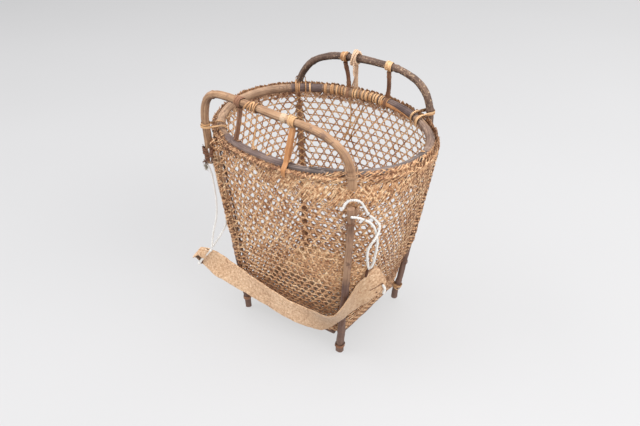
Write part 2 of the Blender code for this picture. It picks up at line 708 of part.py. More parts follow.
# cord routes, mm: the loops belong to the basket, the hanging runs to the strap
RIGHT_LOOP = [(112.8, -117.4, 284.6), (113.4, -113.6, 290.6), (117.6, -110.8, 296.4),
              (123.0, -106.4, 297.6), (128.0, -97.4, 291.4), (131.4, -93.2, 282.4),
              (135.2, -89.2, 270.4)]
RIGHT_HANG_A = [(136.0, -88.0, 268.8), (139.0, -83.2, 263.7), (142.6, -79.6, 258.0),
                (147.0, -78.2, 251.6), (149.2, -83.0, 246.4), (149.2, -88.6, 240.6),
                (147.4, -93.2, 235.4), (143.6, -94.8, 227.0), (139.2, -92.6, 216.6),
                (133.9, -85.7, 199.2), (128.3, -74.4, 179.0), (125.4, -67.5, 166.1),
                (125.4, -65.4, 162.0)]
RIGHT_BAND = [(126.6, -118.6, 278.6), (131.4, -110.6, 275.4), (136.6, -101.4, 269.4)]
RIGHT_HANG_B = [(137.4, -99.8, 268.2), (140.4, -92.8, 261.6), (143.0, -86.4, 252.4),
                (144.6, -82.6, 240.6), (145.4, -79.8, 228.0), (144.4, -78.6, 215.0),
                (138.6, -72.8, 194.0), (131.6, -64.8, 171.9), (129.6, -59.0, 165.8)]
LEFT_LOOP = [(-119.8, -119.5, 303.0), (-117.4, -120.4, 299.0), (-116.4, -119.6, 291.0),
             (-118.0, -118.0, 280.4)]
LEFT_HANG_A = [(-118.4, -114.8, 277.0), (-118.5, -111.4, 266.0), (-117.8, -109.2, 250.0),
               (-116.4, -107.0, 228.5), (-113.2, -104.0, 203.4), (-111.6, -102.0, 185.8),
               (-113.1, -102.8, 166.4), (-120.9, -107.0, 147.0), (-134.4, -112.2, 122.4),
               (-137.2, -113.2, 118.2)]
LEFT_HANG_B = [(-131.6, -116.4, 276.6), (-127.8, -115.6, 270.4), (-124.5, -114.4, 262.0),
               (-120.4, -114.5, 239.6), (-118.6, -114.0, 212.2), (-122.1, -113.0, 181.6),
               (-131.4, -113.4, 148.3), (-134.2, -116.2, 121.8)]

cord("cotton_loop_right", RIGHT_LOOP, 12, swinging=False)
cord("cotton_band_right", RIGHT_BAND, 6, swinging=False)
cord("cotton_loop_left", LEFT_LOOP, 7, swinging=False)
cord("cotton_cord_right_a", RIGHT_HANG_A, 24)
cord("cotton_cord_right_b", RIGHT_HANG_B, 22)
cord("cotton_cord_left_a", LEFT_HANG_A, 28)
cord("cotton_cord_left_b", LEFT_HANG_B, 28)


def over_strap(s, across):
    """Points beside the strap near distance s: (across, outward, along) in mm."""
    c, w, n, t = on_strap(s)
    return [c + w * a + n * b + t * d for a, b, d in across]


# cotton turns lying across the strap, where the cords are tied to its ends
UP = STRAP_T / 2 + CORD_R + 0.45
TIE_LEFT = [(-17.5, UP, -0.3), (-9.0, UP + 0.2, 0.2), (0.0, UP, 0.0), (9.0, UP + 0.2, -0.2),
            (17.0, UP, 0.2), (21.0, UP - 0.1, 0.2)]
TIE_RIGHT = [(11.0, UP + 0.5, 1.2), (15.0, UP + 0.8, 1.4), (19.4, UP + 0.5, 0.6), (23.2, 2.0, -1.6),
             (25.8, 0.2, -4.6)]
cord("cotton_tie_left", over_strap(FLAT_FROM, TIE_LEFT), 12)
cord("cotton_tie_right", over_strap(STRAP_LEN - 6.0, TIE_RIGHT), 12)

# small wooden toggle at the upper edge of the strap's right end
c, w, n, t = on_strap(STRAP_LEN - 14.0)
base = c - w * (STRAP_W / 2 + 2.5) + n * 1.2
to_swing(rod("strap_toggle", [base - t * 6.0, base, base + t * 6.0], [1.7, 2.0, 1.6], FIBRE, 8, n))
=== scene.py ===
import math

import bpy
import numpy as np
from mathutils import Matrix, Vector


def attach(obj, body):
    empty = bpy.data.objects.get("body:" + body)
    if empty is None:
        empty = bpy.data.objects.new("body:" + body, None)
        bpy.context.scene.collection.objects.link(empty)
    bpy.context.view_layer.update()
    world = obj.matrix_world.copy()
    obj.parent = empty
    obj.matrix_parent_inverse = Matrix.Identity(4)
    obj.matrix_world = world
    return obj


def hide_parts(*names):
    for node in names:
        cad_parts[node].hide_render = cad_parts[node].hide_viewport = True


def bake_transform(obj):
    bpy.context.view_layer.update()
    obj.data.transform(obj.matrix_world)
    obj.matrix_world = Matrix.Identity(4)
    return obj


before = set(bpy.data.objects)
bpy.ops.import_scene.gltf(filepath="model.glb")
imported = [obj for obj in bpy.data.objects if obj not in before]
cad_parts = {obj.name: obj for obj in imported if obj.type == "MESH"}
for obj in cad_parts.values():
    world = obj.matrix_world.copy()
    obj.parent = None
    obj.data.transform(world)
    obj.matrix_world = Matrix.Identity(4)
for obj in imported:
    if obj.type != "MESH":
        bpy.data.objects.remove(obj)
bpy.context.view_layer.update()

MM = 0.001
BODY = "basket"
STRAP_BODY = "strap"
rng = np.random.default_rng(20240611)

# ------------------------------------------------------------------ shared design
HOOP_A, HOOP_B = 160.0, 125.6
HOOP_Z = 325.0
HOOP_R = 6.5
BORDER_OUT = 9.75
BORDER_HW, BORDER_HH = 2.7, 5.2
BORDER_FOOT = 321.6
WALL_T = 2.5
BASE_SHIFT = (-2.9, -1.4)
FLOOR_Z = 34.5
POST_FOOT = (91.6, 80.6)
POST_R_FRONT, POST_R = 6.0, 4.9
POST_TOP_Z = 287.0
HANDLE_R = 5.75
STRUT_R = 3.3
RAIL_R = 3.7
CORD_R = 1.3
STRAP_W, STRAP_T = 38.0, 3.0
WALL_KNOTS = np.array((
    (34.8, 96.0, 86.0, 8.0),
    (80.0, 108.6, 95.2, 5.2),
    (140.0, 124.5, 106.0, 3.7),
    (200.0, 139.5, 116.2, 3.0),
    (250.0, 151.4, 123.6, 2.8),
    (285.0, 158.8, 127.4, 2.65),
    (304.0, 165.4, 131.6, 2.25),
    (321.0, 169.3, 134.9, 2.0),
))
POST_TOPS = {"front": (121.6, -111.6), "left": (-111.0, -113.0),
             "right": (127.0, 107.8), "back": (-128.0, 107.6)}
POST_BOW = {"left": (5.0, -3.4)}


def unit(v):
    v = np.asarray(v, float)
    return v / max(np.linalg.norm(v), 1e-12)


def units(v):
    return v / np.maximum(np.linalg.norm(v, axis=-1, keepdims=True), 1e-12)


def smooth_path(points, count):
    """Centripetal-like spline through the points, resampled evenly."""
    p = np.asarray(points, float)
    ext = np.vstack([2 * p[0] - p[1], p, 2 * p[-1] - p[-2]])
    out = []
    for i in range(1, len(ext) - 2):
        p0, p1, p2, p3 = ext[i - 1], ext[i], ext[i + 1], ext[i + 2]
        d1 = max(np.linalg.norm(p1 - p0), 1e-6) ** 0.5
        d2 = max(np.linalg.norm(p2 - p1), 1e-6) ** 0.5
        d3 = max(np.linalg.norm(p3 - p2), 1e-6) ** 0.5
        m1 = (p1 - p0) / d1 - (p2 - p0) / (d1 + d2) + (p2 - p1) / d2
        m2 = (p2 - p1) / d2 - (p3 - p1) / (d2 + d3) + (p3 - p2) / d3
        m1, m2 = m1 * d2, m2 * d2
        for k in range(24):
            t = k / 24
            out.append((2 * t**3 - 3 * t**2 + 1) * p1 + (t**3 - 2 * t**2 + t) * m1
                       + (-2 * t**3 + 3 * t**2) * p2 + (t**3 - t**2) * m2)
    out.append(p[-1])
    out = np.array(out)
    seg = np.linalg.norm(np.diff(out, axis=0), axis=1)
    s = np.concatenate([[0], np.cumsum(seg)])
    want = np.linspace(0, s[-1], count)
    return np.stack([np.interp(want, s, out[:, i]) for i in range(3)], -1)


def refine(path, count):
    """Even resampling of a polyline through a light smoothing spline."""
    return smooth_path(path, count)


def tangents(path, closed=False):
    if closed:
        return units(np.roll(path, -1, 0) - np.roll(path, 1, 0))
    t = np.empty_like(path)
    t[1:-1] = path[2:] - path[:-2]
    t[0], t[-1] = path[1] - path[0], path[-1] - path[-2]
    return units(t)


def carried(path, first_normal):
    t = tangents(path)
    n = unit(np.asarray(first_normal, float) - np.dot(first_normal, t[0]) * t[0])
    ns = [n]
    for i in range(1, len(path)):
        n = unit(n - np.dot(n, t[i]) * t[i])
        ns.append(n)
    return t, np.array(ns)


def hoop_sag(t_deg):
    """How far the hoop's left shoulder stands out of the oval, and how far it hangs (mm)."""
    d = np.mod(np.asarray(t_deg, float) + 138.0 + 180.0, 360.0) - 180.0
    e = np.mod(np.asarray(t_deg, float) + 122.0 + 180.0, 360.0) - 180.0
    return 5.5 * np.exp(-(d / 21.0) ** 2), 2.4 * np.exp(-(e / 16.0) ** 2)


def hoop_point(t_deg, off=0.0, z=HOOP_Z):
    t = np.radians(t_deg)
    n = hoop_normal(t_deg)
    p = np.stack([HOOP_A * np.cos(t), HOOP_B * np.sin(t), np.full_like(np.asarray(t, float), z)], -1)
    out, sag = hoop_sag(t_deg)
    p = p + n * out[..., None]
    p[..., 2] -= sag
    return p + np.asarray(off)[..., None] * n if np.ndim(off) else p + off * n


def hoop_normal(t_deg):
    t = np.radians(t_deg)
    n = np.stack([np.cos(t) / HOOP_A, np.sin(t) / HOOP_B, np.zeros_like(np.asarray(t, float))], -1)
    return units(n)


def hoop_angle(x, y):
    t = math.degrees(math.atan2(y / HOOP_B, x / HOOP_A))
    for _ in range(20):
        p, n = hoop_point(t)[:2], hoop_normal(t)
        d = np.dot(np.array((x, y)) - p, np.array((-n[1], n[0])))
        t += math.degrees(d / 150.0)
    return t


# ------------------------------------------------------------------ mesh helpers
def build_mesh(name, verts, faces, lay=None, smooth=True, body=BODY, slot=None, mat=None,
               nodes=()):
    """A mesh piece from mm vertices and a list of face arrays (each of one size)."""
    faces = [np.asarray(f, np.int32) for f in faces if len(f)]
    verts = np.asarray(verts, float)
    # outward-facing test by signed volume
    vol = 0.0
    for f in faces:
        for k in range(1, f.shape[1] - 1):
            a, b, c = verts[f[:, 0]], verts[f[:, k]], verts[f[:, k + 1]]
            vol += np.einsum("ij,ij->i", a, np.cross(b, c)).sum()
    if vol < 0:
        faces = [f[:, ::-1] for f in faces]
    me = bpy.data.meshes.new(name)
    me.vertices.add(len(verts))
    me.vertices.foreach_set("co", (verts * MM).astype(np.float32).ravel())
    total = sum(f.size for f in faces)
    me.loops.add(total)
    me.loops.foreach_set("vertex_index", np.concatenate([f.ravel() for f in faces]))
    sizes = np.concatenate([np.full(len(f), f.shape[1]) for f in faces])
    starts = np.concatenate([[0], np.cumsum(sizes)[:-1]]).astype(np.int32)
    me.polygons.add(len(sizes))
    me.polygons.foreach_set("loop_start", starts)
    me.update(calc_edges=True)
    me.validate()
    if lay is not None:
        at = me.attributes.new("lay", "FLOAT_VECTOR", "POINT")
        at.data.foreach_set("vector", np.asarray(lay, np.float32).ravel())
    if smooth:
        me.shade_smooth()
        me.set_sharp_from_angle(angle=math.radians(50))
    ob = bpy.data.objects.new(name, me)
    bpy.context.scene.collection.objects.link(ob)
    if mat is not None:
        me.materials.append(mat)
    if body:
        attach(ob, body)
    if nodes:
        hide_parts(*nodes)
    return ob


class Heap:
    """Collects vertices and faces of many closed shapes for one piece."""

    def __init__(self):
        self.v, self.q, self.caps, self.lay, self.n = [], [], {}, [], 0

    def rings(self, rings, lay, closed=False):
        """rings: (k, m, 3) array; lay: (k, m, 3)."""
        k, m = rings.shape[:2]
        base = self.n
        self.v.append(rings.reshape(-1, 3))
        self.lay.append(lay.reshape(-1, 3))
        i = np.arange(k if closed else k - 1)
        j = np.arange(m)
        a = (i[:, None] * m + j[None, :])
        b = (i[:, None] * m + (j[None, :] + 1) % m)
        c = (((i[:, None] + 1) % k) * m + (j[None, :] + 1) % m)
        d = (((i[:, None] + 1) % k) * m + j[None, :])
        self.q.append(np.stack([a, b, c, d], -1).reshape(-1, 4) + base)
        if not closed:
            self.caps.setdefault(m, []).append(np.arange(m)[::-1] + base)
            self.caps.setdefault(m, []).append(np.arange(m) + base + (k - 1) * m)
        self.n += k * m

    def piece(self, name, **kw):
        faces = [np.concatenate(self.q)] + [np.array(c) for c in self.caps.values()]
        return build_mesh(name, np.concatenate(self.v), faces, np.concatenate(self.lay), **kw)


STRIP = np.array([(-1.0, -1.0), (1.0, -1.0), (1.0, 0.15), (0.6, 1.0), (-0.6, 1.0), (-1.0, 0.15)])
STRIP4 = np.array([(-1.0, -1.0), (1.0, -1.0), (0.86, 1.0), (-0.86, 1.0)])


def ribbon(heap, c, n, w, t, ident, closed=False, profile=STRIP, tang=None):
    """A flat strip along the centres c, facing n, w wide and t thick."""
    tg = tangents(c, closed) if tang is None else tang
    n = units(n - (n * tg).sum(-1, keepdims=True) * tg)
    side = np.cross(tg, n)
    w = np.broadcast_to(np.asarray(w, float), (len(c),))
    t = np.broadcast_to(np.asarray(t, float), (len(c),))
    rings = (c[:, None] + side[:, None] * (profile[None, :, :1] * w[:, None, None] / 2)
             + n[:, None] * (profile[None, :, 1:] * t[:, None, None] / 2))
    seg = np.linalg.norm(np.diff(c, axis=0), axis=1)
    s = np.concatenate([[0], np.cumsum(seg)]) * MM
    lay = np.empty(rings.shape)
    lay[..., 0] = profile[None, :, 0]
    lay[..., 1] = s[:, None]
    lay[..., 2] = ident
    heap.rings(rings, lay, closed)


def taper(count, ends=2, least=0.35):
    """Width factors that narrow at a strip's two ends."""
    f = np.ones(count)
    for i in range(min(ends, count // 2)):
        v = least + (1 - least) * (i / ends)
        f[i] = min(f[i], v)
        f[-1 - i] = min(f[-1 - i], v)
    return f


def wobble(x, seed, octaves=4, base=1.0):
    """Smooth deterministic noise of a 1-D coordinate."""
    r = np.random.default_rng(seed)
    out = np.zeros_like(np.asarray(x, float))
    for o in range(octaves):
        f = base * 1.9 ** o
        out += np.sin(x * f + r.uniform(0, 6.28)) * (0.62 ** o)
    return out / 2.0


# ------------------------------------------------------------------ materials
class Tree:
    def __init__(self, name):
        self.mat = bpy.data.materials.new(name)
        self.mat.use_nodes = True
        self.t = self.mat.node_tree
        self.bsdf = self.t.nodes["Principled BSDF"]
        self.x = -300

    def add(self, kind, **props):
        n = self.t.nodes.new(kind)
        self.x -= 60
        n.location = (self.x, 0)
        for k, v in props.items():
            setattr(n, k, v)
        return n

    def put(self, socket, value):
        if isinstance(value, bpy.types.NodeSocket):
            self.t.links.new(value, socket)
        elif value is not None:
            socket.default_value = value

    def attr(self, name="lay"):
        return self.add("ShaderNodeAttribute", attribute_name=name).outputs["Vector"]

    def obj(self):
        return self.add("ShaderNodeTexCoord").outputs["Object"]

    def split(self, v):
        n = self.add("ShaderNodeSeparateXYZ")
        self.put(n.inputs[0], v)
        return n.outputs

    def vec(self, v, scale):
        n = self.add("ShaderNodeVectorMath", operation="MULTIPLY")
        self.put(n.inputs[0], v)
        n.inputs[1].default_value = scale
        return n.outputs[0]

    def math(self, op, a, b=None, c=None, clamp=False):
        n = self.add("ShaderNodeMath", operation=op, use_clamp=clamp)
        self.put(n.inputs[0], a)
        if b is not None:
            self.put(n.inputs[1], b)
        if c is not None:
            self.put(n.inputs[2], c)
        return n.outputs[0]

    def noise(self, v, scale=1.0, detail=4.0, rough=0.55, distort=0.0):
        n = self.add("ShaderNodeTexNoise")
        self.put(n.inputs["Vector"], v)
        n.inputs["Scale"].default_value = scale
        n.inputs["Detail"].default_value = detail
        n.inputs["Roughness"].default_value = rough
        n.inputs["Distortion"].default_value = distort
        return n.outputs["Fac"]

    def white(self, w):
        n = self.add("ShaderNodeTexWhiteNoise", noise_dimensions="1D")
        self.put(n.inputs["W"], w)
        return n.outputs["Value"]

    def ramp(self, fac, stops, interp="LINEAR"):
        n = self.add("ShaderNodeValToRGB")
        n.color_ramp.interpolation = interp
        e = n.color_ramp.elements
        while len(e) < len(stops):
            e.new(0.5)
        for el, (pos, col) in zip(e, stops):
            el.position = pos
            el.color = (*col, 1.0) if len(col) == 3 else col
        self.put(n.inputs[0], fac)
        return n.outputs["Color"]

    def mix(self, fac, a, b, blend="MIX"):
        n = self.add("ShaderNodeMix", data_type="RGBA", blend_type=blend)
        self.put(n.inputs[0], fac)
        self.put(n.inputs[6], a if not isinstance(a, tuple) else (*a, 1.0))
        self.put(n.inputs[7], b if not isinstance(b, tuple) else (*b, 1.0))
        return n.outputs[2]

    def step(self, fac, lo, hi):
        """Smooth 0..1 between lo and hi."""
        n = self.add("ShaderNodeMapRange", interpolation_type="SMOOTHSTEP")
        self.put(n.inputs[0], fac)
        n.inputs[1].default_value = lo
        n.inputs[2].default_value = hi
        return n.outputs[0]

    def bump(self, height, strength, distance):
        n = self.add("ShaderNodeBump")
        self.put(n.inputs["Height"], height)
        n.inputs["Strength"].default_value = strength
        n.inputs["Distance"].default_value = distance
        self.put(self.bsdf.inputs["Normal"], n.outputs[0])

    def done(self, colour, rough, spec=0.35, sheen=0.0, coat=0.0):
        self.put(self.bsdf.inputs["Base Color"], colour)
        self.put(self.bsdf.inputs["Roughness"], rough)
        self.bsdf.inputs["Specular IOR Level"].default_value = spec
        if sheen:
            self.bsdf.inputs["Sheen Weight"].default_value = sheen
            self.bsdf.inputs["Sheen Roughness"].default_value = 0.6
        return self.mat


def srgb(r, g, b):
    """Linear colour from 8-bit screen values."""
    def f(c):
        c /= 255.0
        return c / 12.92 if c <= 0.04045 else ((c + 0.055) / 1.055) ** 2.4
    return (f(r), f(g), f(b))


def cane_material(name, dark, mid, light, streak=1.0, rough=0.5, low_dark=0.0, stain=None,
                  edge=0.6, bump=0.25, own=0.42, speckle=0.0, near_wall_shade=0.0):
    """Split cane: fibre streaks along each strip, a tone of its own for each strip,
    darker long edges and slow stains."""
    t = Tree(name)
    lay = t.attr()
    a, s, ident = t.split(lay)
    fibre = t.noise(t.vec(lay, (5.5, 34.0, 41.0)), 1.0, 5.0, 0.6)
    fine = t.noise(t.vec(lay, (15.0, 60.0, 23.0)), 1.0, 3.0, 0.6)
    tone = t.white(t.math("MULTIPLY", ident, 7.31))
    slow = t.noise(t.obj(), 21.0, 3.0, 0.6)
    f = t.math("ADD", t.math("MULTIPLY", fibre, 0.55 * streak), t.math("MULTIPLY", tone, own))
    f = t.math("ADD", f, 0.21 - own / 2)
    f = t.math("ADD", f, t.math("MULTIPLY", t.math("SUBTRACT", slow, 0.5), 0.5))
    if speckle:
        f = t.math("ADD", f, t.math("MULTIPLY", t.math("SUBTRACT", t.noise(t.obj(), 240.0, 3.0, 0.6), 0.5), speckle))
    f = t.math("ADD", f, t.math("MULTIPLY", t.math("SUBTRACT", fine, 0.5), 0.25))
    col = t.ramp(f, [(0.16, dark), (0.46, mid), (0.86, light)])
    # darker towards the strips' long edges
    ea = t.step(t.math("ABSOLUTE", a), 0.72, 1.0)
    col = t.mix(t.math("MULTIPLY", ea, edge), col, tuple(c * 0.42 for c in dark))
    if stain:
        spots = t.step(t.noise(t.obj(), 75.0, 4.0, 0.65), 0.60, 0.72)
        col = t.mix(t.math("MULTIPLY", spots, 0.55), col, stain)
    # painted shade: the floor darkens towards -y, by the front wall, where that wall's shadow falls
    if near_wall_shade:
        y = t.split(t.obj())[1]
        col = t.mix(t.math("MULTIPLY", t.step(y, 0.014, -0.014), near_wall_shade), col, tuple(c * 0.4 for c in dark))
    if low_dark:
        z = t.split(t.obj())[2]
        low = t.step(z, 0.13, 0.03)
        col = t.mix(t.math("MULTIPLY", low, low_dark), col, tuple(c * 0.5 for c in dark))
    t.bump(t.math("ADD", fibre, fine), bump, 0.0004)
    r = t.math("ADD", t.math("MULTIPLY", fine, 0.25), rough - 0.1)
    return t.done(col, r)


def bark_material(name, base, alt, deep, patch=None, patch_amount=0.5, patch_scale=90.0,
                  rough=0.62, bump=0.5, under=None, second=None, crack=0.0, foot=None):
    """Unpeeled rod: long fibre streaks, knots darker, worn and lichened patches.
    second: (deep, base, alt) colours where the piece's own third coordinate is 1."""
    t = Tree(name)
    lay = t.attr()
    th, s, ident = t.split(lay)
    # the around coordinate closes on itself through its sine and cosine
    ang = t.math("MULTIPLY", th, math.pi)
    comb = t.add("ShaderNodeCombineXYZ")
    t.put(comb.inputs[0], t.math("COSINE", ang))
    t.put(comb.inputs[1], t.math("SINE", ang))
    t.put(comb.inputs[2], t.math("ADD", t.math("MULTIPLY", s, 9.0), t.math("MULTIPLY", ident, 11.0)))
    streak = t.noise(t.vec(comb.outputs[0], (3.2, 3.2, 1.6)), 1.0, 6.0, 0.62)
    fine = t.noise(t.vec(comb.outputs[0], (9.0, 9.0, 9.0)), 1.0, 5.0, 0.65)
    slow = t.noise(t.obj(), 26.0, 3.0, 0.55)
    f = t.math("ADD", t.math("MULTIPLY", streak, 0.6), t.math("MULTIPLY", slow, 0.45))
    col = t.ramp(f, [(0.33, deep), (0.50, base), (0.68, alt)])
    if second:
        other = t.ramp(f, [(0.33, second[0]), (0.50, second[1]), (0.68, second[2])])
        col = t.mix(t.step(t.math("ADD", ident, t.math("MULTIPLY", t.math("SUBTRACT", slow, 0.5), 0.9)), 0.35, 0.65),
                    col, other)
    if crack:
        line = t.step(t.noise(t.vec(comb.outputs[0], (5.5, 5.5, 0.45)), 1.0, 4.0, 0.7), 0.60, 0.68)
        col = t.mix(t.math("MULTIPLY", line, crack), col, tuple(c * 0.35 for c in deep))
    col = t.mix(t.math("MULTIPLY", t.step(fine, 0.56, 0.70), 0.55), col, tuple(c * 0.55 for c in deep))
    if foot:
        low = t.step(t.math("ADD", t.split(t.obj())[2], t.math("MULTIPLY", t.math("SUBTRACT", slow, 0.5), 0.05)),
                     0.160, 0.128)
        col = t.mix(t.math("MULTIPLY", low, 0.74), col, foot)
    # painted shade: faces turned down take the darker under colour
    if under:
        nz = t.split(t.add("ShaderNodeNewGeometry").outputs["Normal"])[2]
        col = t.mix(t.math("MULTIPLY", t.step(nz, 0.1, -0.6), 0.75), col, under)
    if patch:
        p = t.noise(t.obj(), patch_scale, 5.0, 0.68, 0.4)
        mask = t.step(p, 0.60 - 0.12 * patch_amount, 0.68 - 0.12 * patch_amount)
        big = t.step(t.noise(t.obj(), 17.0, 2.0, 0.5), 0.42, 0.58)
        col = t.mix(t.math("MULTIPLY", mask, t.math("ADD", t.math("MULTIPLY", big, 0.75), 0.15)), col, patch)
    t.bump(t.math("ADD", streak, t.math("MULTIPLY", fine, 0.7)), bump, 0.0009)
    r = t.math("ADD", t.math("MULTIPLY", fine, 0.3), rough - 0.12)
    return t.done(col, r, spec=0.3)


M = {
    "weave": cane_material("weave_cane", srgb(118, 72, 44), srgb(202, 150, 106), srgb(255, 226, 184),
                           low_dark=0.2, stain=srgb(122, 72, 44), own=0.20, speckle=1.5, edge=0.85),
    "weave_in": cane_material("weave_cane_round", srgb(112, 68, 42), srgb(198, 148, 106), srgb(255, 222, 180),
                              low_dark=0.0, own=0.22, speckle=1.3, edge=0.85),
    "rim_weave": cane_material("rim_strip_cane", srgb(98, 60, 40), srgb(170, 122, 86), srgb(232, 188, 142),
                               stain=srgb(92, 54, 36), own=0.5, speckle=1.2, edge=0.85),
    "inner_weave": cane_material("inner_strip_cane", srgb(108, 70, 52), srgb(188, 144, 110), srgb(240, 208, 174),
                                 stain=srgb(92, 60, 50), own=0.55, speckle=1.3, edge=0.8),
    "worn": bark_material("worn_rod", srgb(190, 160, 130), srgb(214, 188, 160), srgb(150, 120, 94), crack=0.2),
    "floor": cane_material("floor_cane", srgb(108, 74, 48), srgb(184, 142, 102), srgb(228, 192, 150), own=0.5, near_wall_shade=0.84,
                           speckle=0.8),
    "border": cane_material("border_cane", srgb(104, 66, 44), srgb(174, 128, 92), srgb(226, 184, 142),
                            stain=srgb(84, 54, 38), speckle=0.8),
    "cane": cane_material("lashing_cane", srgb(118, 76, 46), srgb(194, 146, 100), srgb(230, 192, 146),
                          edge=0.85, rough=0.45, speckle=0.5),
    "cane_brown": cane_material("lashing_cane_brown", srgb(78, 48, 34), srgb(140, 96, 70), srgb(190, 146, 112),
                                edge=0.7, rough=0.5, speckle=0.3),
    "rim_dark": bark_material("rim_rod_bark", srgb(96, 84, 80), srgb(138, 122, 114), srgb(50, 42, 42),
                              patch=srgb(164, 146, 134), patch_amount=0.30, patch_scale=110.0,
                              second=(srgb(76, 58, 50), srgb(126, 102, 88), srgb(170, 142, 122)), crack=0.6),
    "rim_tan": bark_material("rim_rod_tan_bark", srgb(146, 116, 92), srgb(186, 154, 126), srgb(82, 60, 48),
                             patch=srgb(100, 78, 66), patch_amount=0.5, patch_scale=110.0,
                             second=(srgb(56, 44, 44), srgb(100, 82, 78), srgb(146, 126, 116)), crack=0.6),
    "handle_tan": bark_material("handle_tan_bark", srgb(158, 122, 92), srgb(196, 160, 128), srgb(96, 68, 52),
                                patch=srgb(126, 98, 82), patch_amount=0.4, under=srgb(72, 50, 44), crack=0.5),
    "handle_dark": bark_material("handle_dark_bark", srgb(92, 72, 62), srgb(140, 112, 94), srgb(46, 36, 32),
                                 patch=srgb(196, 168, 138), patch_amount=0.45, patch_scale=260.0,
                                 under=srgb(40, 28, 26), crack=0.7),
    "post": bark_material("post_bark", srgb(148, 114, 90), srgb(182, 148, 118), srgb(80, 56, 44),
                          patch=srgb(94, 66, 54), patch_amount=0.45, rough=0.55, crack=0.5,
                          foot=srgb(92, 70, 66)),
    "strut": bark_material("strut_bark", srgb(116, 80, 60), srgb(168, 126, 96), srgb(58, 36, 28),
                           patch=srgb(196, 150, 110), patch_amount=0.3, patch_scale=120.0, rough=0.55, crack=0.6),
    "strut_tan": bark_material("strut_tan_bark", srgb(182, 126, 80), srgb(214, 164, 116), srgb(120, 74, 46),
                               rough=0.5),
    "fibre": cane_material("dark_fibre", srgb(52, 30, 22), srgb(98, 62, 44), srgb(144, 102, 76), edge=0.3,
                           rough=0.7),
    # dark cane painted as shade, for the strips behind the gaps under the hoop
    "shade": cane_material("painted_gap_shade", srgb(58, 34, 22), srgb(96, 60, 40), srgb(138, 94, 62), edge=0.3, rough=0.8),
}


def thread_material(name, dark, mid, light, rough=0.9, sheen=0.25, bump=0.6, fuzz=260.0):
    """Twisted yarn: fine fibres along the lay, blotchy soiling, and painted shade in the grooves between the plies."""
    t = Tree(name)
    lay = t.attr()
    a, s, ident = t.split(lay)
    fibre = t.noise(t.vec(lay, (9.0, 300.0, 31.0)), 1.0, 4.0, 0.65)
    soil = t.noise(t.obj(), 60.0, 4.0, 0.6)
    f = t.math("ADD", t.math("MULTIPLY", fibre, 0.45), t.math("MULTIPLY", soil, 0.30))
    # painted shade: darker in the grooves between the plies, lighter on their crests
    f = t.math("ADD", f, t.math("MULTIPLY", t.math("ADD", t.math("MULTIPLY", a, 0.5), 0.5), 0.28))
    col = t.ramp(f, [(0.25, dark), (0.55, mid), (0.80, light)])
    t.bump(fibre, bump, 0.0004)
    return t.done(col, rough, spec=0.15, sheen=sheen)


M["cotton"] = thread_material("cotton_yarn", srgb(178, 174, 168), srgb(222, 219, 214), srgb(240, 238, 234))
M["rope"] = thread_material("bast_rope", srgb(140, 102, 72), srgb(204, 170, 138), srgb(238, 212, 186))


def plait_material():
    t = Tree("plaited_bast")
    lay = t.attr()
    ident, s, hgt = t.split(lay)
    streak = t.noise(t.obj(), 260.0, 4.0, 0.66)
    soil = t.noise(t.obj(), 30.0, 4.0, 0.6)
    tone = t.white(t.math("MULTIPLY", ident, 9.7))
    speck = t.step(t.noise(t.obj(), 380.0, 3.0, 0.62), 0.56, 0.64)
    f = t.math("ADD", t.math("MULTIPLY", streak, 0.55), t.math("MULTIPLY", soil, 0.30))
    f = t.math("ADD", f, t.math("MULTIPLY", tone, 0.22))
    col = t.ramp(f, [(0.34, srgb(164, 124, 92)), (0.53, srgb(210, 172, 136)), (0.72, srgb(234, 204, 170))])
    # greyer where it is handled, towards its right end
    worn = t.math("MULTIPLY", t.step(s, 0.21, 0.27), t.step(s, 0.385, 0.36))
    col = t.mix(t.math("MULTIPLY", worn, 0.42), col, srgb(140, 112, 84))
    col = t.mix(t.math("MULTIPLY", speck, 0.6), col, srgb(150, 106, 74))
    # painted shade: the grooves between the strands are darker
    col = t.mix(t.math("MULTIPLY", t.step(hgt, 0.50, 0.1), 0.42), col, srgb(134, 94, 64))
    # painted shade on the inside of the rolled end
    col = t.mix(t.math("MULTIPLY", t.step(hgt, -0.2, -0.8), 0.8), col, srgb(66, 38, 26))
    t.bump(streak, 0.5, 0.0006)
    return t.done(col, 0.9, spec=0.15, sheen=0.2)


M["plait"] = plait_material()
M["fluff"] = thread_material("worn_cotton_fluff", srgb(120, 108, 92), srgb(160, 148, 130), srgb(196, 188, 172))

# ------------------------------------------------------------------ wall surface
Z_LEVELS = np.concatenate([np.linspace(34.8, 285, 60), np.linspace(288, 321, 14)])
NU = 720


def wall_table():
    k = WALL_KNOTS
    th = np.linspace(0, 2 * np.pi, 2881)
    rows = []
    for z in Z_LEVELS:
        a, b, n = [np.interp(z, k[:, 0], k[:, i]) for i in (1, 2, 3)]
        c, s = np.cos(th), np.sin(th)
        x = a * np.copysign(np.abs(c) ** (2 / n), c)
        y = b * np.copysign(np.abs(s) ** (2 / n), s)
        w = 1 - np.clip((z - FLOOR_Z) / (HOOP_Z - FLOOR_Z), 0, 1)
        x, y = x + BASE_SHIFT[0] * w, y + BASE_SHIFT[1] * w
        tt = np.degrees(np.arctan2(y / HOOP_B, x / HOOP_A))
        out = hoop_sag(tt)[0] * float(np.interp(z, (262, 318), (0, 1)))
        x, y = x + hoop_normal(tt)[:, 0] * out, y + hoop_normal(tt)[:, 1] * out
        seg = np.hypot(np.diff(x), np.diff(y))
        arc = np.concatenate([[0], np.cumsum(seg)])
        want = np.linspace(0, arc[-1], NU + 1)
        rows.append(np.stack([np.interp(want, arc, x), np.interp(want, arc, y),
                              np.full(NU + 1, z)], -1))
    return np.array(rows)


WALL = wall_table()


RIDGES = []                 # filled in once the posts are known


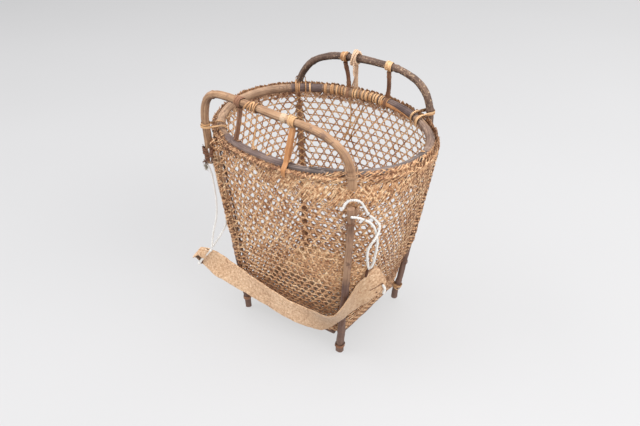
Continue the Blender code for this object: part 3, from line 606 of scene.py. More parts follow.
def surf(u, z, off=0.0, ridged=False):
    """Wall's outer face at fraction u round and height z, moved out by off; and normal.
    ridged: also lifted over the posts that the weave covers."""
    u, z = np.broadcast_arrays(np.asarray(u, float), np.asarray(z, float))

    def at(uu, zz):
        uu = np.mod(uu, 1.0) * NU
        zz = np.clip(zz, Z_LEVELS[0], Z_LEVELS[-1])
        i = np.clip(np.searchsorted(Z_LEVELS, zz) - 1, 0, len(Z_LEVELS) - 2)
        fz = (zz - Z_LEVELS[i]) / (Z_LEVELS[i + 1] - Z_LEVELS[i])
        j = np.clip(uu.astype(int), 0, NU - 1)
        fu = uu - j
        p = ((WALL[i, j] * (1 - fu)[..., None] + WALL[i, j + 1] * fu[..., None]) * (1 - fz)[..., None]
             + (WALL[i + 1, j] * (1 - fu)[..., None] + WALL[i + 1, j + 1] * fu[..., None]) * fz[..., None])
        return p

    p = at(u, z)
    p[..., 2] = z
    du = at(u + 0.004, z) - at(u - 0.004, z)
    zc = np.clip(z, Z_LEVELS[0] + 2, Z_LEVELS[-1] - 2)
    dz = at(u, zc + 2) - at(u, zc - 2)
    n = units(np.cross(du, dz))
    if ridged:
        lift = np.zeros(p.shape[:-1])
        tilt = np.zeros(p.shape[:-1])
        flat = n.copy()
        flat[..., 2] = 0
        flat = units(flat)
        tang = np.stack([-flat[..., 1], flat[..., 0], np.zeros_like(flat[..., 0])], -1)
        for which, cover in RIDGES:
            q = np.stack([np.interp(z, POST_LINES[which][:, 2], POST_LINES[which][:, i]) for i in (0, 1)]
                         + [z], -1)
            rel = q - p
            d = (rel * tang).sum(-1)
            g = (rel * flat).sum(-1)
            full = np.interp(z, cover[0], cover[1])
            b0 = np.clip(g + POST_R + 2.6, 0, 17) * full
            near = (np.abs(d) < 15.0) & (g > -4)
            w = np.where(near, np.cos(np.pi * np.clip(d, -15, 15) / 30.0) ** 2, 0.0)
            lift = np.maximum(lift, b0 * w ** 0.8)
        p = p + flat * lift[..., None]
    return p + n * np.asarray(off)[..., None] if np.ndim(off) else p + n * off, n


def u_of(x, y, z):
    """Fraction round the wall nearest to (x, y) at height z."""
    us = np.linspace(0, 1, 1441)[:-1]
    p, _ = surf(us, np.full_like(us, z))
    return us[np.argmin((p[:, 0] - x) ** 2 + (p[:, 1] - y) ** 2)]


def post_line(name, sx, sy):
    """Centreline of a corner post."""
    tx, ty = POST_TOPS[name]
    fx, fy = BASE_SHIFT[0] + sx * POST_FOOT[0], BASE_SHIFT[1] + sy * POST_FOOT[1]
    foot, top = np.array((fx, fy, 0.0)), np.array((tx, ty, POST_TOP_Z))
    pts = [foot, foot + (0, 0, 6)]
    bow = POST_BOW.get(name, (0.0, 0.0))
    for s in (0.1, 0.25, 0.42, 0.6, 0.8, 1.0):
        b = 4 * max(s - 0.3, 0.0) * (1.0 - s) / 0.49
        pts.append(foot + (top - foot) * s + (bow[0] * b, bow[1] * b, 0))
    pts[1][:2] = foot[:2] + 0.35 * (top - foot)[:2] * 6 / POST_TOP_Z
    path = smooth_path(pts, 16)
    path[0] = foot
    path[1][:2] = foot[:2] + 0.5 * (path[1][:2] - foot[:2])
    return path


POST_LINES = {
    "front": post_line("front", 1, -1),
    "left": post_line("left", -1, -1),
    "right": post_line("right", 1, 1),
    "back": post_line("back", -1, 1),
}
# heights and how much of the post the weave covers there
RIDGES += [("right", ((62, 118, 286, 301), (0.0, 1.0, 1.0, 0.0))),
           ("left", ((50, 75, 100, 150, 175, 312, 322), (0.0, 0.5, 0.8, 0.85, 1.0, 1.0, 0.7))),
           ("back", ((62, 118, 286, 301), (0.0, 1.0, 1.0, 0.0)))]

# ------------------------------------------------------------------ open hexagonal weave
COLS = 64
MID = -WALL_T / 2
STRIP_W, STRIP_TH = 2.55, 0.8
AMP = 0.5


def row_heights():
    z, out = 37.0, []
    while z < 320.0:
        out.append(z)
        step = np.interp(z, (35, 55, 75, 105, 140, 170, 290, 320), (4.7, 5.4, 6.6, 8.8, 10.4, 11.0, 11.0, 9.5))
        z += step
    return np.array(out)


ROWS = row_heights()
NROW = len(ROWS) - 1


def z_of(v):
    return np.interp(v, np.arange(NROW + 1), ROWS) + np.where(v > NROW, (v - NROW) * 6.0, 0) \
        + np.where(v < 0, v * 4.0, 0)


heap_a, heap_b, heap_h = Heap(), Heap(), Heap()
v = np.arange(-0.25, NROW + 0.3, 1 / 8)
tops = []
for k in range(COLS):
    for heap, sign, start in ((heap_a, 1, 0.0), (heap_b, -1, 0.5)):
        seed = 1000 + k * 2 + (sign > 0)
        jit = wobble(v, seed, 4, 0.35) * 0.10 + np.random.default_rng(seed).uniform(-0.07, 0.07)
        u = (k + start + sign * v / 2 + jit) / COLS
        z = z_of(v) + wobble(v, seed + 7, 4, 0.6) * 0.6
        near = np.clip(0.5 - 0.9 * np.sin(2 * np.pi * u - 0.03), 0, 1)
        width = STRIP_W * np.interp(z, (35, 60, 120, 160, 320), (0.78, 0.8, 0.94, 1.0, 1.0)) \
            * (1 + 0.14 * wobble(v, seed + 3, 4, 0.8) + np.random.default_rng(seed + 5).uniform(-0.12, 0.12)) \
            * (0.79 + 0.32 * near) * (1 - 0.20 * np.clip(np.cos(2 * np.pi * u), 0, 1) * np.interp(z, (130, 170), (1, 0))
                                      - 0.16 * np.clip(np.sin(2 * np.pi * u), 0, 1) * np.interp(z, (130, 170), (1, 0)))
        # low down the rounds lie outermost
        off = MID - sign * AMP * np.cos(2 * np.pi * v) - np.interp(z, (118, 165), (1.0, 0.0))
        c, n = surf(u, z, off, ridged=True)
        ribbon(heap, c, n, width, STRIP_TH, k * 0.137 + (0.5 if sign > 0 else 0.0))
        tops.append((u[-1], sign))
for j in range(NROW + 1):
    m = COLS * 8
    q = np.arange(m) / 8
    seed = 5000 + j
    u = q / COLS
    low = float(np.interp(ROWS[j], (118, 165), (1.0, 0.0)))
    zz = ROWS[j] + wobble(q * 0.8, seed, 3, 0.31) * 0.4 + low * 0.75 * np.sin(2 * np.pi * (q - j / 2))
    # close the wave exactly at the seam
    blend_w = np.clip((m - 1 - np.arange(m)) / 12.0, 0, 1)
    zz = zz * blend_w + (1 - blend_w) * zz[0]
    width = STRIP_W * np.interp(ROWS[j], (35, 60, 95, 130, 165, 320), (1.38, 1.36, 1.3, 1.15, 0.95, 0.92)) \
        * (0.84 + 0.24 * np.clip(0.5 - 0.9 * np.sin(2 * np.pi * u - 0.03), 0, 1)) \
        * (1 + np.random.default_rng(seed).uniform(-0.12, 0.12)) \
        * (1 - 0.36 * low * np.clip(np.cos(2 * np.pi * u), 0, 1)) \
        * (1 - 0.28 * low * np.clip(np.sin(2 * np.pi * u), 0, 1))
    off = MID + AMP * (1 + 0.3 * low) * np.cos(2 * np.pi * (q - j / 2)) + 0.55 * low
    c, n = surf(u, zz, off, ridged=True)
    ribbon(heap_h, c, n, width, STRIP_TH, j * 0.271 + 0.11, closed=True)
# closer strips where the weave passes over the posts
for which, z_from, z_to, pace, span, w_cov in (("right", 92, 300, 3.1, 24, 2.7), ("left", 80, 318, 4.4, 15, 2.3),
                                               ("back", 92, 300, 8.0, 10, 2.0)):
    zz = z_from
    k = 0
    while zz < z_to:
        r = np.random.default_rng(31000 + k + int(z_from * 7) + ord(which[0]))
        p = np.array([np.interp(zz, POST_LINES[which][:, 2], POST_LINES[which][:, i]) for i in (0, 1)])
        uc = u_of(p[0], p[1], zz)
        per = 900 * np.interp(zz, (35, 321), (0.76, 1.04))
        sg = 1 if k % 2 else -1
        f = np.linspace(-0.5, 0.5, 17)
        c, n = surf(uc + f * span * r.uniform(0.85, 1.15) / per + r.uniform(-2, 2) / per, zz + sg * f * span * 0.85,
                    MID + 0.5 + 0.5 * np.cos(f * 21 + k), ridged=True)
        ribbon(heap_a if sg > 0 else heap_b, c, n, w_cov * r.uniform(0.8, 1.2) * taper(17, 3, 0.5), 0.7, r.uniform(0, 9))
        zz += pace
        k += 1
# strips laid along the left post under the weave that passes over it
for k in range(5):
    zs = np.arange(62.0, 317.0, 4.0)
    line = POST_LINES["left"]
    us = np.array([u_of(np.interp(z_, line[:, 2], line[:, 0]), np.interp(z_, line[:, 2], line[:, 1]), z_) for z_ in zs])
    us = us + ((k - 2) * 3.4 + 0.7 * wobble(zs * 0.05, 700 + k, 3, 0.6)) / (900 * np.interp(zs, (35, 321), (0.76, 1.04)))
    c, n = surf(us, zs, MID - 0.5, ridged=True)
    ribbon(heap_b, c, n, 4.1 * taper(len(zs), 3, 0.5) * (1 + 0.15 * wobble(zs * 0.1, 720 + k, 3, 0.6)), 0.7, k * 0.31)
# thin second rounds that close the wall at its foot
for j in range(6):
    m = COLS * 8
    q = np.arange(m) / 8
    zz = 38.5 + j * 4.6 + 0.6 * np.sin(2 * np.pi * (q + j / 2))
    zz[-8:] = np.linspace(zz[-9], zz[0], 8)
    c, n = surf(q / COLS, zz, MID + 0.1 - AMP * np.cos(2 * np.pi * (q - j / 2)))
    ribbon(heap_h, c, n, 2.2, STRIP_TH, j * 0.31 + 0.4, closed=True)
wall_a = heap_a.piece("weave_rising_right", mat=M["weave"], slot="weave", nodes=("basket_wall",))
wall_b = heap_b.piece("weave_rising_left", mat=M["weave"], slot="weave")
wall_h = heap_h.piece("weave_rounds", mat=M["weave_in"], slot="weave")


def wall_angle(u):
    """Degrees round the hoop for a fraction round the wall's top."""
    p, _ = surf(np.array([u]), np.array([320.0]))
    return math.degrees(math.atan2(p[0, 1] / HOOP_B, p[0, 0] / HOOP_A))


def nearness(t_deg):
    """1 on the strap side and the right end, 0 on the far side."""
    return float(np.clip(0.5 - 0.9 * math.sin(math.radians(t_deg - 2.0)), 0, 1))


# ------------------------------------------------------------------ folded-back strip ends
# each strip turns at the rim and comes down again between its neighbours
heap = Heap()
for i, (u_top, sign) in enumerate(tops):
    t_top = wall_angle(u_top)
    near = nearness(t_top)
    gaps = -72 < ((t_top + 180) % 360 - 180) < 30
    left_part = t_top % 360 > 196 and t_top % 360 < 268
    for extra in range(2 + (0 if left_part else int(round(3 * near)))):
        r = np.random.default_rng(9000 + i * 8 + extra)
        length = (9 + (6 if left_part else 20) * near) * r.uniform(0.7, 1.2) + 2
        top = (314.0 if gaps and extra else 321.2) + r.uniform(-1.2, 1.2)
        m = 13
        f = np.linspace(0, 1, m)
        z = top - f * length
        way = sign if extra == 0 else (-1 if r.uniform() < 0.72 else 1)
        run = f * length / 11.0 / 2.0 * r.uniform(0.8, 1.15)
        u = u_top + (r.uniform(-0.1, 0.1) + 0.25 * extra + way * run) / COLS
        off = 0.25 + 0.5 * np.cos(2 * np.pi * (run * 2 + 0.3 * extra)) + 0.22 * min(extra, 3)
        off[-2:] = np.linspace(off[-3], -0.6, 2)
        c, n = surf(u, np.minimum(z, 321.0), off, ridged=True)
        c[:, 2] = z
        w = r.uniform(1.9, 3.1) * taper(m, 2, 0.6)
        ribbon(heap, c, n, w, 0.75, r.uniform(0, 9))
# on the strap side the strips also come over the outer half of the hoop
cover = Heap()
t0 = -162.0
k = 0
while t0 < 38.0:
    r = np.random.default_rng(12000 + k)
    top_a = float(np.interp(t0, (-162, -156, -126, -121, -112, -84, -64, -54, 2, 20, 34),
                            (-10, 48, 52, 24, 12, 10, 14, 62, 60, 30, -20)))
    a = np.radians(np.linspace(top_a + r.uniform(-9, 5), -5.0, 7))
    fine_part = -54 < t0 < 20
    lean = (r.uniform(0.55, 0.9) if fine_part else r.uniform(0.10, 0.32)) * (1 if r.uniform() < 0.8 else -1)
    hr = HOOP_R + 0.75 + 0.3 * r.uniform(0, 1)
    rows_ = [(hr * math.cos(x), HOOP_Z + hr * math.sin(x)) for x in a]
    # the strip leaves the hoop and runs down outside the woven edge
    top_z = min(rows_[-1][1], 326.0)
    rows_ += [(10.4, min(top_z, 325.6)), (12.7 + r.uniform(0, 0.5), 323.2), (12.0, 319.6)]
    short = -72 < t0 < 30
    tail = r.uniform(2.0, 6.0) if not short else r.uniform(0.5, 2.5) + (r.uniform(0.0, 5.0) if fine_part else 0.0)
    rows_.append((11.0, 319.0 - tail))
    rr_, zz_ = np.array(rows_).T
    run = np.concatenate([[0], np.cumsum(np.hypot(np.diff(rr_), np.diff(zz_)))])
    tt = t0 - run * lean
    c = hoop_point(tt) + hoop_normal(tt) * rr_[:, None]
    c[:, 2] = zz_ - hoop_sag(tt)[1]
    c = smooth_path([tuple(q) for q in c], 22)
    d_ = np.gradient(c, axis=0)
    out = hoop_normal(np.interp(np.linspace(0, 1, 22), np.linspace(0, 1, len(tt)), tt))
    side = units(np.cross(d_, out + np.array((0, 0, 0.6))))
    ribbon(heap if fine_part and k % 2 else cover, c, units(np.cross(side, d_)),
           (r.uniform(1.2, 1.9) if fine_part else r.uniform(1.5, 2.7)) * taper(22, 2, 0.5), 0.6, r.uniform(0, 9))
    t0 += r.uniform(0.65, 1.35) if fine_part else r.uniform(0.5, 1.25)
    k += 1
cover.piece("rim_cover_strips", mat=M["rim_weave"], slot="weave")
# loose tips that stand off the wall
for k in range(110):
    r = np.random.default_rng(15000 + k)
    u0 = r.uniform(0, 1)
    if 196 < wall_angle(u0) % 360 < 268 and r.uniform() < 0.6:
        continue
    near = nearness(wall_angle(u0))
    z0 = 319 - r.uniform(0, 8 + 26 * near)
    m = 6
    f = np.linspace(0, 1, m)
    L = r.uniform(4, 11)
    sg = r.choice((-1, 1))
    u = u0 + sg * f * L * 0.6 / 900
    z = z0 - f * L * 0.8
    c, n = surf(u, z, 1.2 + f ** 2 * r.uniform(0.8, 2.8))
    ribbon(heap, c, n, r.uniform(1.0, 2.2) * np.linspace(1, 0.35, m), 0.5, r.uniform(0, 9))
heap.piece("folded_edge_strips", mat=M["weave"], slot="weave")

# close short strips under the hoop on the far side, seen from inside
heap = Heap()
for k in range(640):
    r = np.random.default_rng(17000 + k)
    t0 = r.uniform(8, 184)
    p0 = hoop_point(t0)
    u0 = u_of(p0[0] * 1.04, p0[1] * 1.04, 320.0)
    z0 = r.uniform(311, 323)
    m = 7
    f = np.linspace(0, 1, m)
    L = r.uniform(6, 13)
    u = u0 + r.choice((-1, 1)) * f * L * 0.8 / 930
    z = z0 - f * L * 0.75
    c, n = surf(u, np.minimum(z, 321.0), -(WALL_T + 0.15 + 0.5 * r.uniform(0, 1)) + 0.3 * np.sin(f * 9 + k))
    c[:, 2] = z
    ribbon(heap, c, -n, r.uniform(1.5, 2.7) * taper(m, 1, 0.5), 0.6, r.uniform(0, 9))
heap.piece("inner_edge_strips", mat=M["inner_weave"], slot="weave")
# dark strips painted as the shade behind the gaps under the hoop
heap = Heap()
tt = np.arange(-76.0, 34.0, 1.0)
us = []
for t0 in tt:
    p0 = hoop_point(t0)
    us.append(u_of(p0[0] * 1.04, p0[1] * 1.04, 317.0))
us = np.unwrap(np.array(us) * 2 * np.pi) / (2 * np.pi)
g = np.random.default_rng(4471)
for z0, w in ((318.6, 3.4), (315.2, 3.4)):
    i0 = 0
    while i0 < len(us) - 3:
        i1 = min(len(us), i0 + int(g.integers(2, 5)))
        if g.uniform() < 0.55:
            m = (i1 - i0) * 4
            c, n = surf(np.linspace(us[i0], us[i1 - 1], m), np.full(m, z0 + g.uniform(-0.8, 0.8)), -0.25)
            ribbon(heap, c, n, w * taper(m, 2, 0.5), 0.6, g.uniform(0, 9))
        i0 = i1 + int(g.integers(0, 3))
heap.piece("edge_backing", mat=M["shade"], slot="weave")


# ------------------------------------------------------------------ woven edge outside the hoop
def border_half(t):
    """Half height of the woven edge at angle t."""
    f = 0.5 + 0.5 * np.sin(np.radians(t - 8.0))
    return 1.75 + (BORDER_HH - 1.75) * np.clip((f - 0.12) / 0.5, 0.0, 1.0) ** 1.2


heap = Heap()
FOLDS = 122
per = 12
q = np.arange(FOLDS * per)
for strand, (phase, radial, seed) in enumerate(((0.0, 0.55, 3), (0.5, -0.55, 7), (0.27, 0.0, 11))):
    t = 360.0 * q / (FOLDS * per)
    hh = border_half(t)
    g = np.random.default_rng(seed)
    reach = np.repeat(g.uniform(0.72, 1.12, FOLDS), per)
    reach = (reach + np.roll(reach, per // 2)) / 2
    a = 2 * np.pi * (q / per + phase)
    saw = np.arcsin(np.clip(np.sin(a), -0.985, 0.985)) / 1.40
    z = BORDER_FOOT + hh * (0.9 + saw * reach * np.where(saw > 0, 1.0, 1.1)) - 0.6 * (saw < 0)
    out = BORDER_OUT + radial * 1.5 + 0.6 * np.cos(a) + (BORDER_HW - 1.6) * np.cos(np.radians(t) * 31 + strand)
    p = hoop_point(t, 0.0, 0.0) + hoop_normal(t) * out[:, None]
    p[:, 2] = z
    n = hoop_normal(t) + np.array((0, 0, 0.35)) * saw[:, None]
    ribbon(heap, p, units(n), np.interp(hh, (1.7, 5.2), (1.7, 2.2)), 0.7, 0.3 + 0.2 * strand, closed=True,
           profile=STRIP4)
# a strip along the foot of the folds and cut tips that bristle from them
t = np.arange(0, 360, 1.0)
for k, (dz, dr) in enumerate(((1.4, 1.6), (1.9, -1.7))):
    p = hoop_point(t, BORDER_OUT + dr, BORDER_FOOT + dz)
    p[:, 2] += 0.3 * np.sin(np.radians(t) * 41 + k)
    ribbon(heap, p, hoop_normal(t), 2.3, 0.75, 0.7 + k * 0.4, closed=True, profile=STRIP4)
for k in range(330):
    r = np.random.default_rng(21000 + k)
    t0 = r.uniform(0, 360)
    hh = float(border_half(t0))
    base = hoop_point(t0, BORDER_OUT + r.uniform(-1.6, 1.6), BORDER_FOOT + hh * r.uniform(0.3, 1.7))
    out = unit(hoop_normal(t0) * r.uniform(-0.2, 1.0) + np.array((0, 0, r.uniform(0.0, 1.1)))
               + r.uniform(-1.1, 1.1) * np.cross((0, 0, 1), hoop_normal(t0)))
    L = r.uniform(1.4, 3.6)
    f = np.linspace(0, 1, 4)
    c = base + out[None] * (f * L)[:, None]
    ribbon(heap, c, np.tile(unit(np.cross(out, r.normal(size=3))), (4, 1)),
           r.uniform(0.7, 1.6) * np.linspace(1, 0.5, 4), 0.45, r.uniform(0, 9))
heap.piece("folded_rim_edge", mat=M["border"], slot="weave", nodes=("rim_border",))

# ------------------------------------------------------------------ woven floor
heap = Heap()
fz = FLOOR_Z + 0.4 + 1.3
ka, kb = 96.0 - WALL_T - 1.2, 86.0 - WALL_T - 1.2
nexp = 8.0
cx, cy = BASE_SHIFT


def floor_span(p, d):
    """Where a line crosses the floor's outline (a squarish oval)."""
    f = np.linspace(-150, 150, 1201)
    x, y = p[0] + d[0] * f, p[1] + d[1] * f
    inside = (np.abs(x / ka)) ** nexp + (np.abs(y / kb)) ** nexp < 1
    if inside.sum() < 6:
        return None
    return f[inside][0], f[inside][-1]


pitch = 8.2
for fam, ang in enumerate((0.0, 60.0, 120.0)):
    d = np.array((math.cos(math.radians(ang)), math.sin(math.radians(ang))))
    pn = np.array((-d[1], d[0]))
    rowgap = pitch * math.sqrt(3) / 2
    for j in range(-16, 17):
        p0 = pn * (j * rowgap + (0.0, 0.0, rowgap / 2)[fam])
        sp = floor_span(p0, d)
        if sp is None:
            continue
        m = max(int((sp[1] - sp[0]) / (pitch / 2 / 4)), 8)
        f = np.linspace(sp[0], sp[1], m)
        off = AMP * np.cos(2 * np.pi * (f / pitch + 0.5 * j + 0.25 * fam))
        c = np.stack([cx + p0[0] + d[0] * f, cy + p0[1] + d[1] * f, fz + off], -1)
        ribbon(heap, c, np.tile((0, 0, 1.0), (m, 1)), 5.6, STRIP_TH, fam * 3.1 + j * 0.173, profile=STRIP4)
heap.piece("floor_weave", mat=M["floor"], slot="weave", nodes=("basket_floor",))


# ------------------------------------------------------------------ rods
def twig(name, path, radius, mat, slot, nodes=(), sides=20, first_normal=(0.3, 1, 0.2), knots=(),
         seed=1, rough_amp=0.035, squash=None, body=BODY, cap_round=True, count=None, wander=0.25):
    """An irregular rod.  radius: number or per-point; knots: fractions along it with a
    swelling and a ridge; squash: (scale along the carried normal, along the binormal)."""
    path = np.asarray(path, float)
    count = count or max(len(path) * 4, 40)
    r0 = np.full(len(path), radius, float) if np.isscalar(radius) else np.asarray(radius, float)
    s0 = np.concatenate([[0], np.cumsum(np.linalg.norm(np.diff(path, axis=0), axis=1))])
    fine = refine(path, count)
    s = np.concatenate([[0], np.cumsum(np.linalg.norm(np.diff(fine, axis=0), axis=1))])
    r = np.interp(s / s[-1] * s0[-1], s0, r0)
    t, n = carried(fine, first_normal)
    b = np.cross(t, n)
    ends = np.clip(np.minimum(s, s[-1] - s) / 8.0, 0, 1)
    fine = fine + (n * (wobble(s, seed, 3, 0.06) * wander * ends)[:, None]
                   + b * (wobble(s, seed + 1, 3, 0.07) * wander * ends)[:, None])
    prof = 1 + 0.03 * wobble(s, seed + 2, 4, 0.12)
    for kf in knots:
        d = s - kf * s[-1]
        prof = prof + 0.13 * np.exp(-(d / 2.2) ** 2) - 0.07 * np.exp(-((d - 4.0) / 1.3) ** 2)
    r = r * prof
    th = np.linspace(0, 2 * np.pi, sides + 1)[:-1]
    g = np.random.default_rng(seed + 50)
    rr = np.ones((count, sides))
    for o in range(5):
        fa, fs, ph, tw = g.integers(1, 6), g.uniform(0.02, 0.16), g.uniform(0, 6.28), g.uniform(-0.02, 0.02)
        rr += rough_amp * 0.6 * np.sin(fa * th[None] + fs * s[:, None] + ph + tw * s[:, None])
    rr += rough_amp * 0.45 * g.normal(size=(count, sides))
    su, sv = squash if squash else (1.0, 1.0)
    ring = (np.cos(th)[None, :, None] * n[:, None] * (r[:, None] * rr)[..., None] * su
            + np.sin(th)[None, :, None] * b[:, None] * (r[:, None] * rr)[..., None] * sv)
    rings = fine[:, None] + ring
    lay = np.empty(rings.shape)
    lay[..., 0] = np.linspace(-1, 1, sides + 1)[:-1][None]
    lay[..., 1] = (s * MM)[:, None]
    lay[..., 2] = seed * 0.37
    if cap_round:
        first = fine[0] + ring[0] * 0.72 - t[0] * r[0] * 0.12
        last = fine[-1] + ring[-1] * 0.72 + t[-1] * r[-1] * 0.12
        rings = np.concatenate([first[None], rings, last[None]])
        lay = np.concatenate([lay[:1], lay, lay[-1:]])
    h = Heap()
    h.rings(rings, lay)
    return h.piece(name, mat=mat, slot=slot, nodes=nodes, body=body), fine


# posts
post_paths = POST_LINES


def post_at(which, z):
    p = post_paths[which]
    return np.array([np.interp(z, p[:, 2], p[:, i]) for i in range(3)])


for which, path in post_paths.items():
    r = POST_R_FRONT if which == "front" else POST_R
    p = path.copy()
    p[0, 2] += 0.8                       # the rod's end is rounded down to the ground
    rr = r * np.interp(path[:, 2], (0, 60, 200, 287), (1.02, 0.98, 0.97, 0.93))
    if which == "front":
        p[:, 0] += np.interp(path[:, 2], (70, 150, 215, 262, 282), (0.0, 1.6, 2.8, 1.6, 0.4))
        rr = rr * np.interp(path[:, 2], (20, 80, 195, 262, 280), (1.0, 0.93, 0.9, 0.9, 0.95))
    twig("rod_post_" + which, p, rr, M["post"], "post_wood", nodes=("post_" + which,), count=150,
         knots={"front": (0.16, 0.52, 0.83), "left": (0.3, 0.62, 0.9), "right": (0.12, 0.43, 0.86),
                "back": (0.2, 0.55)}[which], seed={"front": 31, "left": 37, "right": 41, "back": 43}[which],
         first_normal=(1, 0, 0), wander=0.2)

# the stub of a side branch at the front post's head; the turns of strip round the head are laid with the post bindings
# further down
head = post_at("front", 266.0)
twig("post_head_fork", smooth_path([head + (0.6, 0.4, 0.0), head + (4.6, 3.2, 9.0), head + (8.6, 6.4, 17.0)], 9),
     np.array((4.3, 4.3, 4.2, 4.1, 4.0, 4.0, 3.9, 3.8, 3.4)), M["post"], "post_wood", count=40, sides=18, seed=47,
     first_normal=(0, 0, 1), wander=0.2)

# rails under the floor's edge
bx, by = BASE_SHIFT
for i, (nm, (a, b)) in enumerate({
    "base_rail_front": ((bx - 82, by - 78.2), (bx + 80, by - 78.2)),
    "base_rail_back": ((bx - 82, by + 78.2), (bx + 80, by + 78.2)),
    "base_rail_right": ((bx + 88.2, by - 69), (bx + 88.2, by + 69)),
    "base_rail_left": ((bx - 88.2, by - 69), (bx - 88.2, by + 69)),
}.items()):
    mid = ((a[0] + b[0]) / 2, (a[1] + b[1]) / 2, 29.0)
    twig("rod_" + nm, smooth_path([(a[0], a[1], 30.0), mid, (b[0], b[1], 30.0)], 9), RAIL_R * 0.96,
         M["post"], "post_wood", nodes=(nm,), count=60, knots=(0.27, 0.7), seed=60 + i,
         first_normal=(0, 0, 1))

# handles
front_pts = [(-125.9, -110.8, 275), (-127.2, -110.7, 300), (-129.2, -110.6, 326), (-131.2, -110.3, 346), (-129.0, -110, 365),
             (-121.5, -109.6, 379.5), (-108.0, -109.5, 387), (-88.0, -109.4, 389.0),
             (-46.0, -109.4, 387.2), (-8.0, -109.4, 385.2), (30.0, -109.4, 384.4),
             (60.0, -109.4, 382.2), (86.0, -109.5, 376.0), (105.5, -109.7, 365),
             (116.2, -110, 352), (121.0, -110.4, 336), (122.8, -110.8, 317.5)]
back_pts = [(-126.6, 103.6, 303), (-126.0, 104.4, 318), (-121.4, 104.2, 336), (-109.0, 103.4, 357),
            (-92.0, 104.0, 372.5), (-66.0, 105.2, 384.0), (-38.0, 106.6, 389.5),
            (-12.0, 107.9, 391.3), (14.0, 109.4, 391.6), (40.0, 110.8, 390.6), (64.0, 112.1, 386.8),
            (85.0, 113.3, 377.4), (99.0, 114.2, 363.5), (106.4, 114.8, 346.0),
            (109.0, 115.3, 322.0), (109.6, 115.6, 303.0)]
front_path = smooth_path(front_pts, 40)
back_path = smooth_path(back_pts, 38)
fr = np.array([HANDLE_R * (1 + 0.03 * math.sin(0.9 * i)) for i in range(40)])
fr[-3:] *= (1.02, 1.06, 1.10)
_, front_fine = twig("rod_handle_front", front_path, fr, M["handle_tan"], "rim_rod_tan", nodes=("handle_front",),
                     count=220, knots=(0.30, 0.48, 0.72, 0.93), seed=71, first_normal=(0, 1, 0))
_, back_fine = twig("rod_handle_back", back_path,
                    [HANDLE_R * (0.96 + 0.03 * math.sin(1.1 * i)) for i in range(38)], M["handle_dark"],
                    "handle_dark", nodes=("handle_back",), count=220, knots=(0.22, 0.4, 0.66, 0.9),
                    seed=73, first_normal=(0, 1, 0))


def bar_at(path, x):
    top = path[path[:, 2] > 340]
    i = int(np.argmin(abs(top[:, 0] - x)))
    i = min(max(i, 1), len(top) - 2)
    a, b = top[i - 1], top[i + 1]
    s = (x - a[0]) / (b[0] - a[0])
    return a + (b - a) * s, unit(b - a)


STRUTS = {
    "strut_front_left": (front_path, -64.0, -115.5, "strut"),
    "strut_front_right": (front_path, 27.0, -80.0, "strut_tan"),
    "strut_back_left": (back_path, -37.5, 104.5, "strut"),
    "strut_back_right": (back_path, 38.0, 79.0, "strut"),
}
for i, (nm, (path, x, t, mt)) in enumerate(STRUTS.items()):
    bar, d = bar_at(path, x)
    foot = hoop_point(t)
    top = bar - np.array((0, 0, HANDLE_R + 3.4))
    low = np.array((foot[0], foot[1], foot[2] + HOOP_R + 3.6))
    mid = (top + low) / 2 + np.array((0.8, 0.5, 0))
    twig("rod_" + nm, smooth_path([low, mid, top], 8),
         STRUT_R * np.array((1.1, 1.0, 0.97, 0.96, 0.98, 1.0, 1.03, 1.08)), M[mt],
         "post_wood" if mt == "strut" else "cane", nodes=(nm,), count=50, knots=(0.15, 0.8), seed=80 + i,
         first_normal=(1, 0, 0), wander=0.3)


# split tails of the two back struts, drawn over the inside of the hoop
h = Heap()
for t_, wide, sd in ((104.5, 5.0, 3), (79.0, 5.6, 5)):
    foot, no = hoop_point(t_), hoop_normal(t_)
    pts = [foot + no * 0.4 + (0, 0, 12.5), foot - no * 3.4 + (0, 0, 8.2), foot - no * 7.4 + (0, 0, 3.6),
           foot - no * 8.4 + (0, 0, -1.5), foot - no * 7.6 + (0, 0, -8.0)]
    pp = smooth_path([tuple(q) for q in pts], 24)
    side = np.tile(np.array((-no[1], no[0], 0.0)), (24, 1))
    ribbon(h, pp, -units(np.cross(side, np.gradient(pp, axis=0))) * -1.0, wide * taper(24, 4, 0.6), 1.2, sd * 0.2)
h.piece("strut_tails_back", mat=M["strut"], slot="post_wood")

# the right strut is faced with a broad split strip that passes over the rim
h = Heap()
bar, d = bar_at(front_path, 27.0)
foot = hoop_point(-80.0)
no = hoop_normal(-80.0)
pts = [bar + np.array((0, 0, -HANDLE_R - 2.0)) + no * 3.0,
       np.array((foot[0], foot[1], HOOP_Z + HOOP_R + 6.0)) + no * 3.6,
       foot + no * 5.6 + (0, 0, 6.4), foot + no * 9.6 + (0, 0, 3.2), foot + no * 13.2 + (0, 0, -1.5),
       foot + no * 12.6 + (0, 0, -9.5)]
pp = smooth_path([tuple(q) for q in pts], 30)
dd_ = np.gradient(pp, axis=0)
side = np.tile(np.array((-no[1], no[0], 0.0)), (30, 1))
ribbon(h, pp, -units(np.cross(side, dd_)), 7.4 * np.interp(np.linspace(0, 1, 30), (0, 0.1, 0.8, 1), (0.8, 1, 1, 0.72)),
       1.1, 0.63)
h.piece("strut_facing_front_right", mat=M["strut_tan"], slot="cane")


